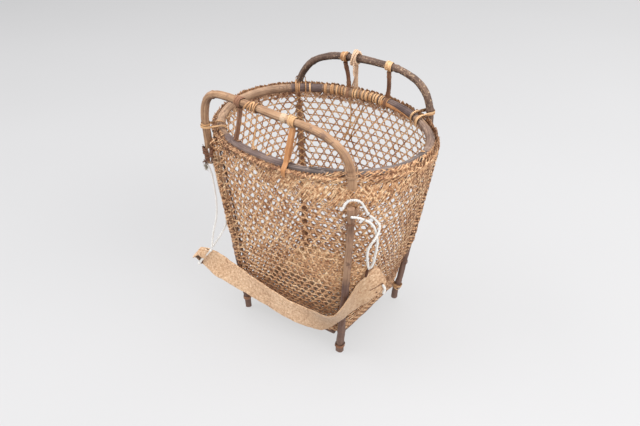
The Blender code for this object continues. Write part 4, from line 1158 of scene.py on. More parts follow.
# rim hoop: two rods with long tapered laps
def hoop_twig(name, node, t0, t1, mat, slot, seed, tones, lap=10.0, ends=(1, -1)):
    count = int(abs(t1 - t0) * 1.3)
    ts = np.linspace(t0, t1, count)
    c, nrm = hoop_point(ts), hoop_normal(ts)
    sides = 22
    th = np.linspace(0, 2 * np.pi, sides + 1)[:-1]
    g = np.random.default_rng(seed)
    s = ts * 2.5
    rr = np.ones((count, sides)) * (1 + 0.03 * wobble(s, seed, 4, 0.09))[:, None]
    for o in range(6):
        rr += 0.018 * np.sin(g.integers(1, 6) * th[None] + g.uniform(0.02, 0.12) * s[:, None] + g.uniform(0, 6.28))
    rr += 0.012 * g.normal(size=(count, sides))
    for kk in np.arange(g.uniform(0.08, 0.2), 1.0, 0.21):
        d = (ts - (t0 + (t1 - t0) * kk)) * 2.5
        rr += (0.085 * np.exp(-(d / 2.4) ** 2) - 0.05 * np.exp(-((d - 4.2) / 1.4) ** 2))[:, None]
    u = HOOP_R * 0.985 * rr * np.cos(th)[None]
    w = HOOP_R * 0.985 * rr * np.sin(th)[None]
    for sel, side in ((ts <= t0 + lap + 1, ends[0]), (ts >= t1 - lap - 1, ends[1])):
        near = np.where(sel)[0]
        for i in near:
            edge = (ts[i] - t0) if side == ends[0] and ts[i] <= t0 + lap + 1 else (t1 - ts[i])
            f = np.clip((edge - lap) / 1.0, 0, 1)           # 0 inside the lap
            depth = 0.25 + (1 - np.clip(edge / lap, 0, 1)) * 2.4   # cut thins towards its end
            cut = u[i].copy()
            cut = np.maximum(cut, 0.25) if side > 0 else np.minimum(cut, -0.25)
            thin = np.minimum(cut, HOOP_R - depth * 0.8) if side > 0 else np.maximum(cut, -(HOOP_R - depth * 0.8))
            u[i] = u[i] * f + thin * (1 - f)
            w[i] = w[i] * (f + (1 - f) * (0.62 + 0.38 * np.clip(edge / lap, 0, 1)))
    rings = c[:, None] + nrm[:, None] * u[..., None] + np.array((0, 0, 1.0))[None, None] * w[..., None]
    lay = np.empty(rings.shape)
    lay[..., 0] = np.linspace(-1, 1, sides + 1)[:-1][None]
    lay[..., 1] = (s * MM)[:, None]
    lay[..., 2] = np.interp(ts, tones[0], tones[1])[:, None]
    h = Heap()
    h.rings(rings, lay)
    return h.piece(name, mat=mat, slot=slot, nodes=(node,))


FRONT_LAP, RIGHT_LAP = -74.0, 46.0
hoop_twig("rod_rim_dark", "rim_hoop_front", FRONT_LAP - 5, RIGHT_LAP + 5, M["rim_dark"], "rim_rod_dark", 91,
          ((-80, -2, 10, 60), (0.0, 0.05, 0.7, 0.8)))
hoop_twig("rod_rim_tan", "rim_hoop_back", RIGHT_LAP - 5, 360 + FRONT_LAP + 5, M["rim_tan"], "rim_rod_tan", 92,
          ((40, 52, 56, 82, 86, 118, 122, 138, 144, 205, 232, 243, 281, 285, 300),
           (0.2, 0.3, 1.0, 1.0, 0.3, 0.2, 0.85, 0.85, 0.2, 0.15, 0.4, 1.0, 1.0, 0.3, 0.3)))

# a pale tapered end laid along the inside of the hoop beyond the binding
h = Heap()
ts = np.linspace(81.5, 57.0, 40)
f = np.linspace(0, 1, 40)
a = np.radians(np.interp(f, (0, 1), (172.0, 206.0)))
rr_ = HOOP_R + 0.9
c = hoop_point(ts) + hoop_normal(ts) * (rr_ * np.cos(a))[:, None]
c[:, 2] = HOOP_Z + rr_ * np.sin(a)
n = hoop_normal(ts) * np.cos(a)[:, None] + np.array((0, 0, 1.0)) * np.sin(a)[:, None]
ribbon(h, c, n, np.linspace(7.0, 1.6, 40), 1.0, 0.37)
h.piece("rim_pale_lap", mat=M["strut_tan"], slot="rim_rod_tan")

# ------------------------------------------------------------------ wraps and lashings
def turns_round(heap, centre, axis, r_in, length, n_turns, width, thick, seed, start=None,
                slack=0.5, slant=0.0, profile=STRIP, layers=1):
    """Separate overlapping turns of a strip wound round a rod."""
    axis = unit(axis)
    u = unit(np.cross(axis, (0.21, 0.35, 0.91)))
    v2 = np.cross(axis, u)
    c = np.asarray(centre, float)
    g = np.random.default_rng(seed)
    for L in range(layers):
        m = int(n_turns * 22)
        a = np.linspace(0, 2 * np.pi * n_turns, m) + (start if start is not None else g.uniform(0, 6.28))
        f = np.linspace(-0.5, 0.5, m)
        x = f * (length - width) * (1 if L % 2 == 0 else -1) + slant * np.sin(a + g.uniform(0, 6.28)) \
            + wobble(a, seed + L, 3, 0.4) * slack
        rr = r_in + thick / 2 + L * thick * 0.9 + np.abs(wobble(a, seed + 9 + L, 3, 0.5)) * 0.35
        p = c + axis[None] * x[:, None] + (np.cos(a)[:, None] * u + np.sin(a)[:, None] * v2) * rr[:, None]
        n = np.cos(a)[:, None] * u + np.sin(a)[:, None] * v2
        w = width * (1 + 0.12 * wobble(a, seed + 4, 3, 0.3)) * taper(m, 3, 0.5)
        ribbon(heap, p, n, w, thick, g.uniform(0, 9), profile=profile)


def tuft(heap, at, direction, count, length, seed, width=1.2, spread=0.5):
    """Short loose ends of strip."""
    g = np.random.default_rng(seed)
    d0 = unit(direction)
    for _ in range(count):
        d = unit(d0 + g.normal(size=3) * spread)
        L = length * g.uniform(0.5, 1.0)
        f = np.linspace(0, 1, 6)
        side = unit(np.cross(d, g.normal(size=3)))
        c = np.asarray(at) + d[None] * (f * L)[:, None] + side[None] * (f ** 2 * L * 0.25)[:, None]
        ribbon(heap, c, np.tile(np.cross(d, side), (6, 1)), width * g.uniform(0.6, 1.2) * np.linspace(1, 0.4, 6),
               0.45, g.uniform(0, 9))


def wrap_piece(name, node, mat, slot, build, body=BODY):
    h = Heap()
    build(h)
    return h.piece(name, mat=mat, slot=slot, nodes=(node,) if node else (), body=body)


R_BAR = HANDLE_R * 1.04 + 0.35
for i, (nm, (path, x, t, mt)) in enumerate(STRUTS.items()):
    bar, d = bar_at(path, x)
    col, slot = ("cane", "cane") if "back" in nm or "right" in nm else ("cane_brown", "post_wood")

    def head(h, bar=bar, d=d, i=i, nm=nm):
        turns_round(h, bar, d, R_BAR, 12.5, 5.2, 2.7, 0.8, 300 + i)
        turns_round(h, bar, d, R_BAR + 0.7, 8.5, 1.2, 2.4, 0.7, 320 + i, slant=2.6)
        tuft(h, bar - np.array((0, 0, R_BAR + 0.8)) + d * 2.5, d * 0.3 + np.array((0, 0, -0.2)), 2, 3.2, 340 + i, 1.3)

    wrap_piece(nm + "_head_turns", nm + "_head_wrap", M[col], slot, head)


def hoop_turns(heap, t_mid, span, count, width, thick, seed, a0=-84.0, a1=264.0, lift=0.35):
    """Strips laid over the hoop, from under its outer side round the inside."""
    g = np.random.default_rng(seed)
    half = math.degrees(span / 2 / 142.0)
    for k in range(count):
        t = t_mid - half + 2 * half * (k + 0.5) / count + g.uniform(-0.06, 0.06)
        a = np.radians(np.linspace(78.0, 272.0, 18))
        tt = t + np.linspace(-0.3, 0.3, 18) * g.uniform(-1, 1)
        r = HOOP_R + lift + thick / 2 + 0.12 * g.uniform(0, 1)
        p = hoop_point(tt) + hoop_normal(tt) * (r * np.cos(a))[:, None] + np.stack(
            [np.zeros(18), np.zeros(18), r * np.sin(a)], -1)
        n = hoop_normal(tt) * np.cos(a)[:, None] + np.stack([np.zeros(18), np.zeros(18), np.sin(a)], -1)
        ribbon(heap, p, n, width * g.uniform(0.85, 1.1) * taper(18, 2, 0.8), thick, g.uniform(0, 9))


# cane binding on the back of the hoop: wide turns with dark gaps between them
def back_binding(h):
    g = np.random.default_rng(402)
    for t, wide in ((118.6, 5.6), (114.2, 6.0), (111.4, 3.0), (109.6, 3.0), (107.8, 2.8), (106.0, 2.4),
                    (101.2, 2.8), (99.4, 3.0), (97.4, 3.6), (94.9, 3.2), (92.2, 6.2), (89.6, 5.4), (87.4, 2.6),
                    (85.4, 4.6), (83.0, 2.6), (81.7, 2.6)):
        hoop_turns(h, t + g.uniform(-0.2, 0.2), wide * 0.2, 1, wide, 0.95, int(1000 * t))
        if wide > 5:
            hoop_turns(h, t + 0.2, wide * 0.1, 1, wide * 0.35, 0.5, int(900 * t), lift=1.2)


wrap_piece("rim_binding_turns", "rim_binding", M["cane"], "cane", back_binding)
for nm, t, w, n, seed in (("strut_front_left_foot_tie", -115.5, 8.6, 3, 431),
                          ("strut_front_right_foot_tie", -80.0, 8.6, 2, 433),
                          ("strut_back_right_foot_tie", 79.0, 7.6, 3, 437),
                          ("cane_tie_front_foot", -101.5, 5.0, 2, 439)):
    def tie(h, t=t, w=w, n=n, seed=seed, nm=nm):
        hoop_turns(h, t, w, n, w / n * 0.92, 0.9, seed)
        p = hoop_point(t, -(HOOP_R + 1.2)) - np.array((0, 0, 4.0))
        tuft(h, p, -hoop_normal(t) * 0.2 + np.array((0, 0, -1.0)), 2, 4.0, seed + 1, 1.3, 0.3)

    wrap_piece(nm + "_turns", nm, M["cane"] if "front_left" not in nm else M["cane_brown"], "cane", tie)

# small pairs of turns elsewhere on the rim
h = Heap()
for t, n, w in ((135.9, 2, 2.8), (128.2, 1, 3.6), (-68.0, 2, 2.1), (-92.0, 2, 2.0), (3.0, 2, 2.2)):
    hoop_turns(h, t, n * w * 1.1, n, w * 0.9, 0.7, int(abs(t) * 7) + 3, lift=0.2)
h.piece("rim_small_ties", mat=M["cane"], slot="cane")

# cane tie from the front bar to the rim
bar, d = bar_at(front_path, -34.0)
low = hoop_point(-101.5)
low = np.array((low[0], low[1], HOOP_Z + HOOP_R + 2.6))


def front_tie(h):
    for k, (dx, w) in enumerate(((-0.55, 1.5), (0.6, 1.3))):
        p = smooth_path([low + (dx, 0, 0), (low + bar) / 2 + (0.5 - dx, 0, -4), bar - np.array((-dx, 0, 9.2))], 24)
        _, n = carried(p, (0.3, -1, 0.2))
        ribbon(h, p, n, w, 0.9, 3.3 + k)


wrap_piece("front_tie_strands", "cane_tie_front", M["cane"], "cane", front_tie)
wrap_piece("front_tie_loop_turns", "cane_tie_front_loop", M["cane"], "cane",
           lambda h: (turns_round(h, bar, d, R_BAR, 5.6, 2.2, 1.9, 0.75, 451),
                      turns_round(h, bar, d, R_BAR + 0.7, 3.8, 1.1, 1.6, 0.6, 453, slant=1.2)))


# slanting turns and a pale worn ring on the front bar
h = Heap()
for x, ln, n, w, sl, sd in ((-47.0, 10.0, 1.3, 3.4, 5.0, 461), (-42.0, 8.0, 1.2, 2.6, 4.2, 463)):
    b_, d_ = bar_at(front_path, x)
    turns_round(h, b_, d_, R_BAR, ln, n, w, 0.7, sd, slant=sl)
h.piece("front_bar_turns", mat=M["cane"], slot="cane")
h = Heap()
for x, w, sd in ((13.0, 8.0, 471),):
    b_, d_ = bar_at(front_path, x)
    turns_round(h, b_, d_, HANDLE_R * 1.03, w + 1, 1.0, w, 0.3, sd, slack=0.1)
h.piece("front_bar_splice", mat=M["worn"], slot="rim_rod_tan")


# lashings of the handle legs to the rim
def leg_strands(name, node, leg, mat, seed, strands=3, wide=1.9, ring=True):
    t = hoop_angle(leg[0], leg[1])
    c, n = hoop_point(t), hoop_normal(t)
    tang = np.array((-n[1], n[0], 0))
    out = float(np.dot(leg - c, n))
    strand = 1.9
    arm = HANDLE_R * 1.06 + strand + 0.6
    zt = HOOP_Z + HOOP_R + 0.3 + strand + 0.9
    zb = max(zt, BORDER_FOOT + 2 * BORDER_HH + strand + 0.6)
    inn = -(HOOP_R + 0.3 + strand + 0.3)
    h = Heap()
    g = np.random.default_rng(seed)
    for k in range(strands):
        off = (k - (strands - 1) / 2) * 1.05
        lift = (0.0, 0.75, -0.5, 0.3)[k % 4]
        half = [(inn + 1.0, arm - 1.2 + off, 318.8), (inn + 0.4, arm - 0.8 + off, 325.5),
                (inn * 0.72, arm - 0.8 + off, 331.2 + lift), (-1.0, arm - 0.8 + off * 0.8, zt + lift),
                (7.0, arm - 0.8 + off * 0.4, zb + lift + off * 0.7), (out * 0.72, arm - 0.9, zb + lift + off),
                (out, arm - 1.0, zb + lift + off)]
        turn = [(out + (arm - 1.0) * math.sin(a), (arm - 1.0) * math.cos(a), zb + lift + off) for a in
                (math.pi * q / 6 for q in range(1, 6))]
        pts = half + turn + [(uu, -vv, z) for uu, vv, z in half[::-1]]
        world = np.array([c + uu * n + vv * tang + np.array((0, 0, z - HOOP_Z)) for uu, vv, z in pts])
        p = smooth_path(world, 90)
        ctr = c + out * n * 0.5
        rad = p - np.array((ctr[0], ctr[1], 0))
        rad[:, 2] = 0
        nn = units(rad) * 1.0
        up = np.array((0, 0, 1.0))
        s = np.linspace(0, 1, 90)
        over = np.exp(-((s - 0.2) / 0.09) ** 2) + np.exp(-((s - 0.8) / 0.09) ** 2)
        nn = units(nn * (1 - over * 0.85)[:, None] + up[None] * (over * 1.2)[:, None])
        ribbon(h, p, nn, wide * (1 + 0.1 * wobble(s * 20, seed + k, 3, 0.6)), 0.85, g.uniform(0, 9))
    # a turn round the leg itself, over the strands
    if ring:
        turns_round(h, leg + np.array((0, 0, 3.4)), (0, 0, 1), R_BAR - 0.1, 4.6, 2.2, 1.9, 0.75, seed + 31)
    return h.piece(name, mat=mat, slot="cane", nodes=(node,))


def leg_at(path, first):
    p = path[:12] if first else path[-12:]
    o = np.argsort(p[:, 2])
    return np.array([np.interp(333.5, p[o, 2], p[o, i]) for i in range(3)])


leg_strands("leg_lashing_left_strands", "leg_lashing_left", leg_at(front_path, True), M["cane"], 501)
leg_strands("leg_lashing_front_strands", "leg_lashing_front", leg_at(front_path, False), M["handle_tan"], 503, 2, 1.7,
            False)
leg_strands("leg_lashing_back_strands", "leg_lashing_back", leg_at(back_path, True), M["cane"], 505, 1, 2.2, False)
leg_strands("leg_lashing_right_strands", "leg_lashing_right", leg_at(back_path, False), M["cane"], 507, 4, 2.1, False)

# feet
for which, z0, r_p, mt in (("front", 13.0, POST_R_FRONT, "cane_brown"), ("left", 21.0, POST_R, "cane_brown"),
                           ("right", 27.0, POST_R, "cane"), ("back", 21.0, POST_R, "cane")):
    p = post_at(which, z0)
    dd = post_at(which, z0 + 5) - post_at(which, z0 - 5)
    wrap_piece("foot_turns_" + which, "foot_lashing_" + which, M[mt], "cane" if mt == "cane" else "dark_fibre",
               lambda h, p=p, dd=dd, r_p=r_p, z0=z0: (
                   turns_round(h, p, dd, r_p * 1.03 + 0.35, 6.8, 3.2, 2.2, 0.75, int(z0 * 13) + int(r_p * 10)),
                   turns_round(h, p, dd, r_p * 1.03 + 1.0, 4.4, 1.1, 2.0, 0.6, int(z0 * 17) + 5, slant=1.8)))

# crossed strands of the right foot's lashing and one drawn in to the floor's edge
p = post_at("right", 26.0)
ax = unit(post_at("right", 36) - post_at("right", 16))
h = Heap()
for k, (tilt, ln) in enumerate(((0.42, 9.0), (-0.42, 9.0), (0.0, 11.0), (0.16, 10.0))):
    turns_round(h, p + ax * (k - 1.5) * 1.5, unit(ax + np.array((tilt, 0.2 * tilt, 0))), POST_R * 1.03 + 1.5 + 0.2 * k,
                4.0, 1.25, 1.9, 0.75, 571 + k, slant=1.6)
q0 = p + np.array((-5.6, -4.4, 1.5))
f = np.linspace(0, 1, 14)
c = q0[None] + np.array((-1.4, -23.0, 6.0))[None] * f[:, None] + np.array((0, 0, -2.4))[None] * np.sin(np.pi * f)[:, None]
ribbon(h, c, np.tile(unit((1, 0.1, 0.4)), (14, 1)), 2.0 * taper(14, 2, 0.5), 0.8, 0.4)
ribbon(h, c + np.array((0.8, 0.4, -3.0)), np.tile(unit((1, 0.1, 0.4)), (14, 1)), 1.6 * taper(14, 2, 0.5), 0.8, 0.8)
h.piece("foot_turns_right_crossed", mat=M["cane"], slot="cane")

# dark bundle on the left handle leg
low0, high0 = front_path[1], front_path[3]
axis0 = unit(high0 - low0)
bundle_c = low0 + axis0 * ((289.5 - low0[2]) / axis0[2])
wrap_piece("dark_bundle_left", "post_lashing_left", M["fibre"], "dark_fibre",
           lambda h: (turns_round(h, bundle_c, axis0, HANDLE_R * 1.04 + 0.35, 22.0, 9.2, 3.0, 1.1, 551, slack=0.9),
                      turns_round(h, bundle_c, axis0, HANDLE_R * 1.04 + 1.3, 16.0, 3.2, 2.6, 0.9, 553, slant=3.5),
                      tuft(h, bundle_c + np.array((-3.0, -7.2, -9.0)), (-0.5, -0.4, -0.5), 9, 7.0, 555, 1.1, 0.6),
                      tuft(h, bundle_c + np.array((-6.0, -3.0, 6.0)), (-0.8, -0.3, 0.2), 5, 5.0, 557, 1.0, 0.6),
                      turns_round(h, np.array((-111.6, -123.4, 300.0)), unit(np.array((0.06, 0.02, 1.0))),
                                  1.3, 17.0, 5.6, 3.2, 1.3, 561, slack=1.2),
                      turns_round(h, bundle_c + np.array((-0.5, -0.8, 2.0)), axis0, HANDLE_R * 1.04 + 2.0, 13.0, 3.2,
                                  3.4, 1.2, 563, slant=4.0, slack=1.2),
                      tuft(h, np.array((-111.4, -123.6, 293.0)), (0.12, 0.0, -1.0), 12, 9.0, 565, 1.3, 0.25),
                      tuft(h, bundle_c + np.array((-6.0, -4.0, 10.0)), (-0.9, -0.3, 0.5), 7, 5.0, 567, 1.0, 0.6),
                      tuft(h, bundle_c + np.array((-2.0, -7.0, -10.0)), (-0.1, -0.2, -1.0), 12, 7.0, 569, 1.2, 0.5)))


# inner battens behind the posts, with crossed bindings at every second round
def batten(name, z0, z1, uv, width, mat, seed, bind=True, inward=2.9, bind_w=2.0):
    """uv: function z -> u."""
    h = Heap()
    z = np.linspace(z0, z1, 90)
    u = np.array([uv(q) for q in z])
    c, n = surf(u, z, -(inward) + 0.25 * wobble(z, seed, 3, 0.05))
    ribbon(h, c, -n, width * (1 + 0.08 * wobble(z, seed + 1, 3, 0.05)), 1.1, seed * 0.13, profile=STRIP)
    h.piece(name, mat=mat, slot="cane")
    if not bind:
        return
    h = Heap()
    g = np.random.default_rng(seed + 5)
    zz = z0 + 8
    while zz < z1 - 8:
        for sg in (-1, 1):
            f = np.linspace(-0.5, 0.5, 11)
            span = width + 6.5
            zc = zz + sg * f * 8.5 + g.uniform(-0.5, 0.5)
            per = 900 * np.interp(zz, (35, 321), (0.76, 1.04))
            uu = np.array([uv(q) for q in zc]) + f * span / per
            bulge = 0.9 * np.sqrt(np.clip(1 - (f * 2) ** 4, 0, 1))
            c, n = surf(uu, zc, -(inward - 0.9) - 1.2 - bulge)
            ribbon(h, c, -n, bind_w * g.uniform(0.8, 1.15) * taper(11, 2, 0.6), 0.7, g.uniform(0, 9))
        zz += g.uniform(11.5, 14.0)
    h.piece(name + "_bindings", mat=M["cane"], slot="cane")


def along_post(which):
    zs = np.linspace(40, 300, 14)
    us = []
    for q in zs:
        p = post_at(which, min(q, POST_TOP_Z))
        us.append(u_of(p[0], p[1], q))
    us = np.unwrap(np.array(us) * 2 * np.pi) / (2 * np.pi)
    co = np.polyfit(zs, us, 3)
    return lambda z: np.polyval(co, z)


for i, which in enumerate(("back", "right", "left", "front")):
    batten("batten_" + which, 42, 316, along_post(which), 5.0,
           M["strut"] if which == "back" else M["cane_brown"], 601 + i * 11)


def side_u(px, py):
    u0 = u_of(px, py, 200)
    return lambda z: u0


# two light repair strips on the inside of the far wall
h = Heap()
for k, pts in enumerate((((-44.0, 316), (-37.0, 292), (-38.0, 262), (-46.0, 238)),
                         ((-16.0, 304), (-22.0, 284), (-30.0, 262), (-36.0, 240)))):
    p = smooth_path([(x, z, 0) for x, z in pts], 40)
    u = np.array([u_of(x, 125, z) for x, z, _ in p])
    u = np.interp(np.arange(40), np.arange(0, 40, 3), u[::3])
    c, n = surf(u, p[:, 1], -2.9)
    ribbon(h, c, -n, 2.3, 0.8, 2.2 + k)
h.piece("far_wall_repair_strips", mat=M["cane"], slot="cane")


# outer bindings of the posts, where the cane passes round them
def post_binding(which, zs, mat, seed, width=2.2):
    h = Heap()
    r_p = POST_R_FRONT if which == "front" else POST_R
    for i, z0 in enumerate(zs):
        p = post_at(which, z0)
        u0 = u_of(p[0], p[1], z0)
        w, n = surf(np.array([u0]), np.array([z0]), 0.0)
        n = n[0]
        n2 = unit((n[0], n[1], 0))
        tang = np.array((-n2[1], n2[0], 0))
        for sg in (-1, 1):
            a = np.linspace(-100, 100, 17)
            ar = np.radians(a)
            rr = r_p * 1.02 + 0.75
            c = (p[None] + n2[None] * (rr * np.cos(ar))[:, None] + tang[None] * (rr * np.sin(ar))[:, None]
                 + np.array((0, 0, 1.0))[None] * (sg * a / 100 * 3.4)[:, None])
            nn = n2[None] * np.cos(ar)[:, None] + tang[None] * np.sin(ar)[:, None]
            ribbon(h, c, nn, width * taper(17, 3, 0.55), 0.65, (seed + i) * 0.77 + sg)
    h.piece("post_binding_" + which, mat=mat, slot="cane")


post_binding("back", np.arange(60, 285, 12.5), M["cane"], 701)
post_binding("right", (278.0, 200.0, 132.0, 75.0), M["cane_brown"], 711)
post_binding("left", (262.0, 196.0, 128.0, 70.0), M["cane_brown"], 721)
post_binding("front", (262.0,), M["cane_brown"], 731)

# ------------------------------------------------------------------ carrying strap
STRAP = [
    ((-148.3, -117.6, 100.2), (-0.56, -0.14, -0.82)),
    ((-138.6, -116.2, 97.4), (-0.47, -0.22, -0.855)),
    ((-122.0, -113.9, 89.2), (-0.30, -0.36, -0.884)),
    ((-99.0, -111.6, 82.5), (-0.23, -0.25, -0.94)),
    ((-64.0, -109.4, 73.7), (-0.21, -0.08, -0.97)),
    ((-28.5, -108.3, 66.7), (-0.17, 0.0, -0.985)),
    ((7.2, -107.8, 60.7), (-0.10, 0.02, -0.995)),
    ((31.2, -107.5, 60.8), (0.06, 0.03, -0.997)),
    ((54.9, -107.2, 63.2), (0.20, 0.08, -0.975)),
    ((67.0, -107.1, 65.9), (0.24, 0.18, -0.954)),
    ((79.6, -108.0, 72.6), (0.17, 0.433, -0.885)),
    ((94.5, -111.3, 84.6), (0.02, 0.69, -0.72)),
    ((105.9, -112.9, 95.4), (-0.10, 0.72, -0.68)),
    ((111.5, -106.9, 103.7), (-0.11, 0.66, -0.74)),
    ((114.2, -99.3, 108.8), (-0.05, 0.62, -0.78)),
    ((115.6, -89.9, 111.6), (0.03, 0.56, -0.83)),
    ((117.6, -82.0, 116.8), (0.143, 0.412, -0.90)),
    ((120.8, -74.9, 121.3), (0.331, 0.225, -0.916)),
    ((130.1, -57.8, 135.2), (0.37, 0.283, -0.885)),
    ((134.6, -48.4, 143.3), (0.37, 0.283, -0.885)),
]
ROLL_RUN = 10.2                     # flat stretch left of the cord before the roll
ROLL_A, ROLL_B = 6.0, 4.15          # half axes of the roll's centreline
ROLL_TIP = -20.0                    # angle where the band's end meets it again


def strap_line(spacing=0.6):
    """Centres and across directions along the whole band, with the distance run."""
    flat = smooth_path([s[0] for s in STRAP], 600)
    run = np.concatenate([[0], np.cumsum(np.linalg.norm(np.diff(flat, axis=0), axis=1))])
    keys = [run[int(np.argmin(np.linalg.norm(flat - np.array(s[0]), axis=1)))] for s in STRAP]
    w_keys = np.array([unit(s[1]) for s in STRAP])
    w_flat = np.stack([np.interp(run, keys, w_keys[:, i]) for i in range(3)], -1)
    w0 = w_keys[0]
    t0 = unit(flat[4] - flat[0])
    e1 = unit(t0 - np.dot(t0, w0) * w0)
    n0 = np.cross(w0, e1)
    th = np.radians(np.arange(ROLL_TIP, 270.1, 4.0))
    x = np.concatenate([-ROLL_RUN + ROLL_A * np.cos(th), np.arange(-ROLL_RUN + 1.0, -0.3, 1.0)])
    y = np.concatenate([ROLL_B + ROLL_B * np.sin(th), np.zeros(len(x) - len(th))])
    roll = flat[0] + e1 * x[:, None] + n0 * y[:, None]
    c = np.vstack([roll, flat])
    w = np.vstack([np.tile(w0, (len(roll), 1)), w_flat])
    s = np.concatenate([[0], np.cumsum(np.linalg.norm(np.diff(c, axis=0), axis=1))])
    want = np.arange(0.0, s[-1], spacing)
    want = np.append(want[:-1], s[-1])
    c = np.stack([np.interp(want, s, c[:, i]) for i in range(3)], -1)
    w = np.stack([np.interp(want, s, w[:, i]) for i in range(3)], -1)
    w /= np.linalg.norm(w, axis=1, keepdims=True)
    t = np.gradient(c, want, axis=0)
    t /= np.linalg.norm(t, axis=1, keepdims=True)
    n = np.cross(w, t)
    n /= np.linalg.norm(n, axis=1, keepdims=True)
    return c, w, n, t, want, s[len(roll)]


LINE_C, LINE_W, LINE_N, LINE_T, LINE_S, FLAT_FROM = strap_line()
STRAP_LEN = float(LINE_S[-1])
NA = 60                                    # samples across
# frame of the rolled end
k0 = int(np.searchsorted(LINE_S, FLAT_FROM + 0.5))
ROLL_O, ROLL_E, ROLL_N = LINE_C[k0], LINE_T[k0], LINE_N[k0]
ROLL_INNER = 1


def curl(s):
    """Curvature across the band, which is slightly hollowed beyond the roll."""
    return 0.0008 + 0.0045 * np.clip((s - 45.0) / 50.0, 0.0, 1.0)


def band_point(s, q, lift):
    """Point on the band: s mm along, q across (-0.5..0.5), lift off the middle surface."""
    s, q, lift = np.broadcast_arrays(np.asarray(s, float), np.asarray(q, float), np.asarray(lift, float))
    c, w, n = (np.stack([np.interp(s, LINE_S, a[:, i]) for i in range(3)], -1)
               for a in (LINE_C, LINE_W, LINE_N))
    kap = curl(s)
    depth = (1 - np.cos(kap * STRAP_W / 2)) / kap
    a = q * STRAP_W * kap
    x, y = np.sin(a) / kap, (1 - np.cos(a)) / kap
    longer = 4.0 * np.clip((s - (STRAP_LEN - 30.0)) / 30.0, 0, 1)
    return (c + w * (x - np.sin(a) * lift)[..., None] + LINE_T[-1] * longer[..., None]
            + n * (y - depth / 2 + np.cos(a) * lift)[..., None])


STRAND = 2.7


def plait_height(along, across):
    """Oblique twill plait of flat strands: height 0..1, which strand, and how it lies."""
    p = (along + across * 0.9) / STRAND
    q = (along - across * 0.9) / STRAND
    ip, iq = np.floor(p), np.floor(q)
    fp, fq = p - ip, q - iq
    over = np.mod(ip - iq, 4) < 2           # two over, two under
    run = np.where(over, fp, fq)
    ridge = np.sin(np.pi * np.clip(run, 0, 1)) ** 0.7
    # the strand dips where it passes under the next
    other = np.where(over, fq, fp)
    dip = 0.75 + 0.25 * np.sin(np.pi * np.clip(other, 0, 1))
    return ridge * dip * np.where(over, 1.0, 0.62), np.where(over, ip * 0.37, iq * 0.53 + 0.21), over


def tongue(s, q):
    """How far the band's right end is cut back towards its corners (mm)."""
    a = np.abs(q) * 2
    return 5.0 * np.clip((a - 0.45) / 0.55, 0, 1) ** 2.2


def build_strap():
    s_line = np.unique(np.concatenate([np.arange(0, STRAP_LEN, 0.62), [STRAP_LEN]]))
    ss, q = np.meshgrid(s_line, np.linspace(-0.5, 0.5, NA), indexing="ij")
    near_end = np.clip((ss - (STRAP_LEN - 40)) / 40, 0, 1)
    along = ss - tongue(ss, q) * near_end ** 2
    across = q * STRAP_W * (1 + 0.035 * wobble(ss[:, :1] * 0.16, 815, 3, 1.0))
    # the rolled end: its top corner is drawn in, and its near layer stops short at the lower edge
    x_roll = ((LINE_C - ROLL_O) * ROLL_E).sum(-1)
    top_q = np.interp(np.interp(ss, LINE_S, x_roll), (-16.0, -2.0), (0.42, 1.0))
    in_roll = ss < FLAT_FROM
    across = np.where(in_roll & (across < 0), across * top_q, across)
    short = 0.40 * np.interp(ss, (0.0, 2.0, 11.0, 16.0), (0.85, 1.0, 1.0, 0.0))
    across = np.where(in_roll, -STRAP_W / 2 + (STRAP_W / 2 + across) * (1 - short), across)
    out, lays = [], []
    for side in (1, -1):
        hgt, ident, over = plait_height(along + (3.1 if side > 0 else 0), across + (0 if side > 0 else 1.3))
        # thickness falls to a selvedge at both edges
        edge = np.sqrt(np.clip(1 - (np.abs(q) * 2) ** 14, 0, 1)) * 0.75 + 0.25
        slack = 0.30 * wobble(along * 0.09 + across * 0.2, 811, 3, 1.0)
        body = 0.5 if side > 0 else 0.4
        lift = side * ((STRAP_T / 2 - body) * edge + body * hgt * edge) + slack * 0.5
        pts = band_point(along, across / STRAP_W, lift)
        # the roll is pinched flat at its upper edge and open at the lower one
        x_in = ((pts - ROLL_O) * ROLL_E).sum(-1)
        y_up = ((pts - ROLL_O) * ROLL_N).sum(-1)
        pinch = np.interp(across / STRAP_W, (-0.5, 0.2), (0.35, 1.0))
        near_roll = np.clip(-x_in / 5.0, 0, 1) * (ss < FLAT_FROM + 4)
        pts = pts - ROLL_N * (y_up * (1 - pinch) * near_roll)[..., None]
        pts = pts + ROLL_E * (5.0 * np.clip(1 - ss / 10.0, 0, 1)
                              + 3.4 * np.clip(-x_in / 8.0, 0, 1) * (ss < FLAT_FROM + 4))[..., None]
        out.append(pts)
        # the roll's inside is marked with a height of -1, where the plait material paints shade
        inside = (ss < FLAT_FROM - 2) & (side > 0 if ROLL_INNER > 0 else side < 0)
        hgt = np.where(inside & (np.abs(q) < 0.45), -1.0, hgt)
        lays.append(np.stack([ident, along * MM, hgt + over * 0.001], -1))
    front, back = out
    # closed section: front left to right, back right to left
    rings = np.concatenate([front, back[:, ::-1]], 1)
    lay = np.concatenate([lays[0], lays[1][:, ::-1]], 1)
    k, m = rings.shape[:2]
    i, j = np.arange(k - 1), np.arange(m)
    quads = np.stack([i[:, None] * m + j[None], i[:, None] * m + (j[None] + 1) % m,
                      (i[:, None] + 1) * m + (j[None] + 1) % m, (i[:, None] + 1) * m + j[None]], -1).reshape(-1, 4)
    # the two cut ends, closed strip by strip
    jj = np.arange(NA - 1)
    cap0 = np.stack([jj, m - 1 - jj, m - 2 - jj, jj + 1], -1)
    cap1 = cap0[:, ::-1] + (k - 1) * m
    return build_mesh("plaited_strap", rings.reshape(-1, 3), [quads, cap0, cap1], lay.reshape(-1, 3),
                      mat=M["plait"], body=STRAP_BODY, slot="jute", nodes=("carrying_strap",))


strap_ob = build_strap()

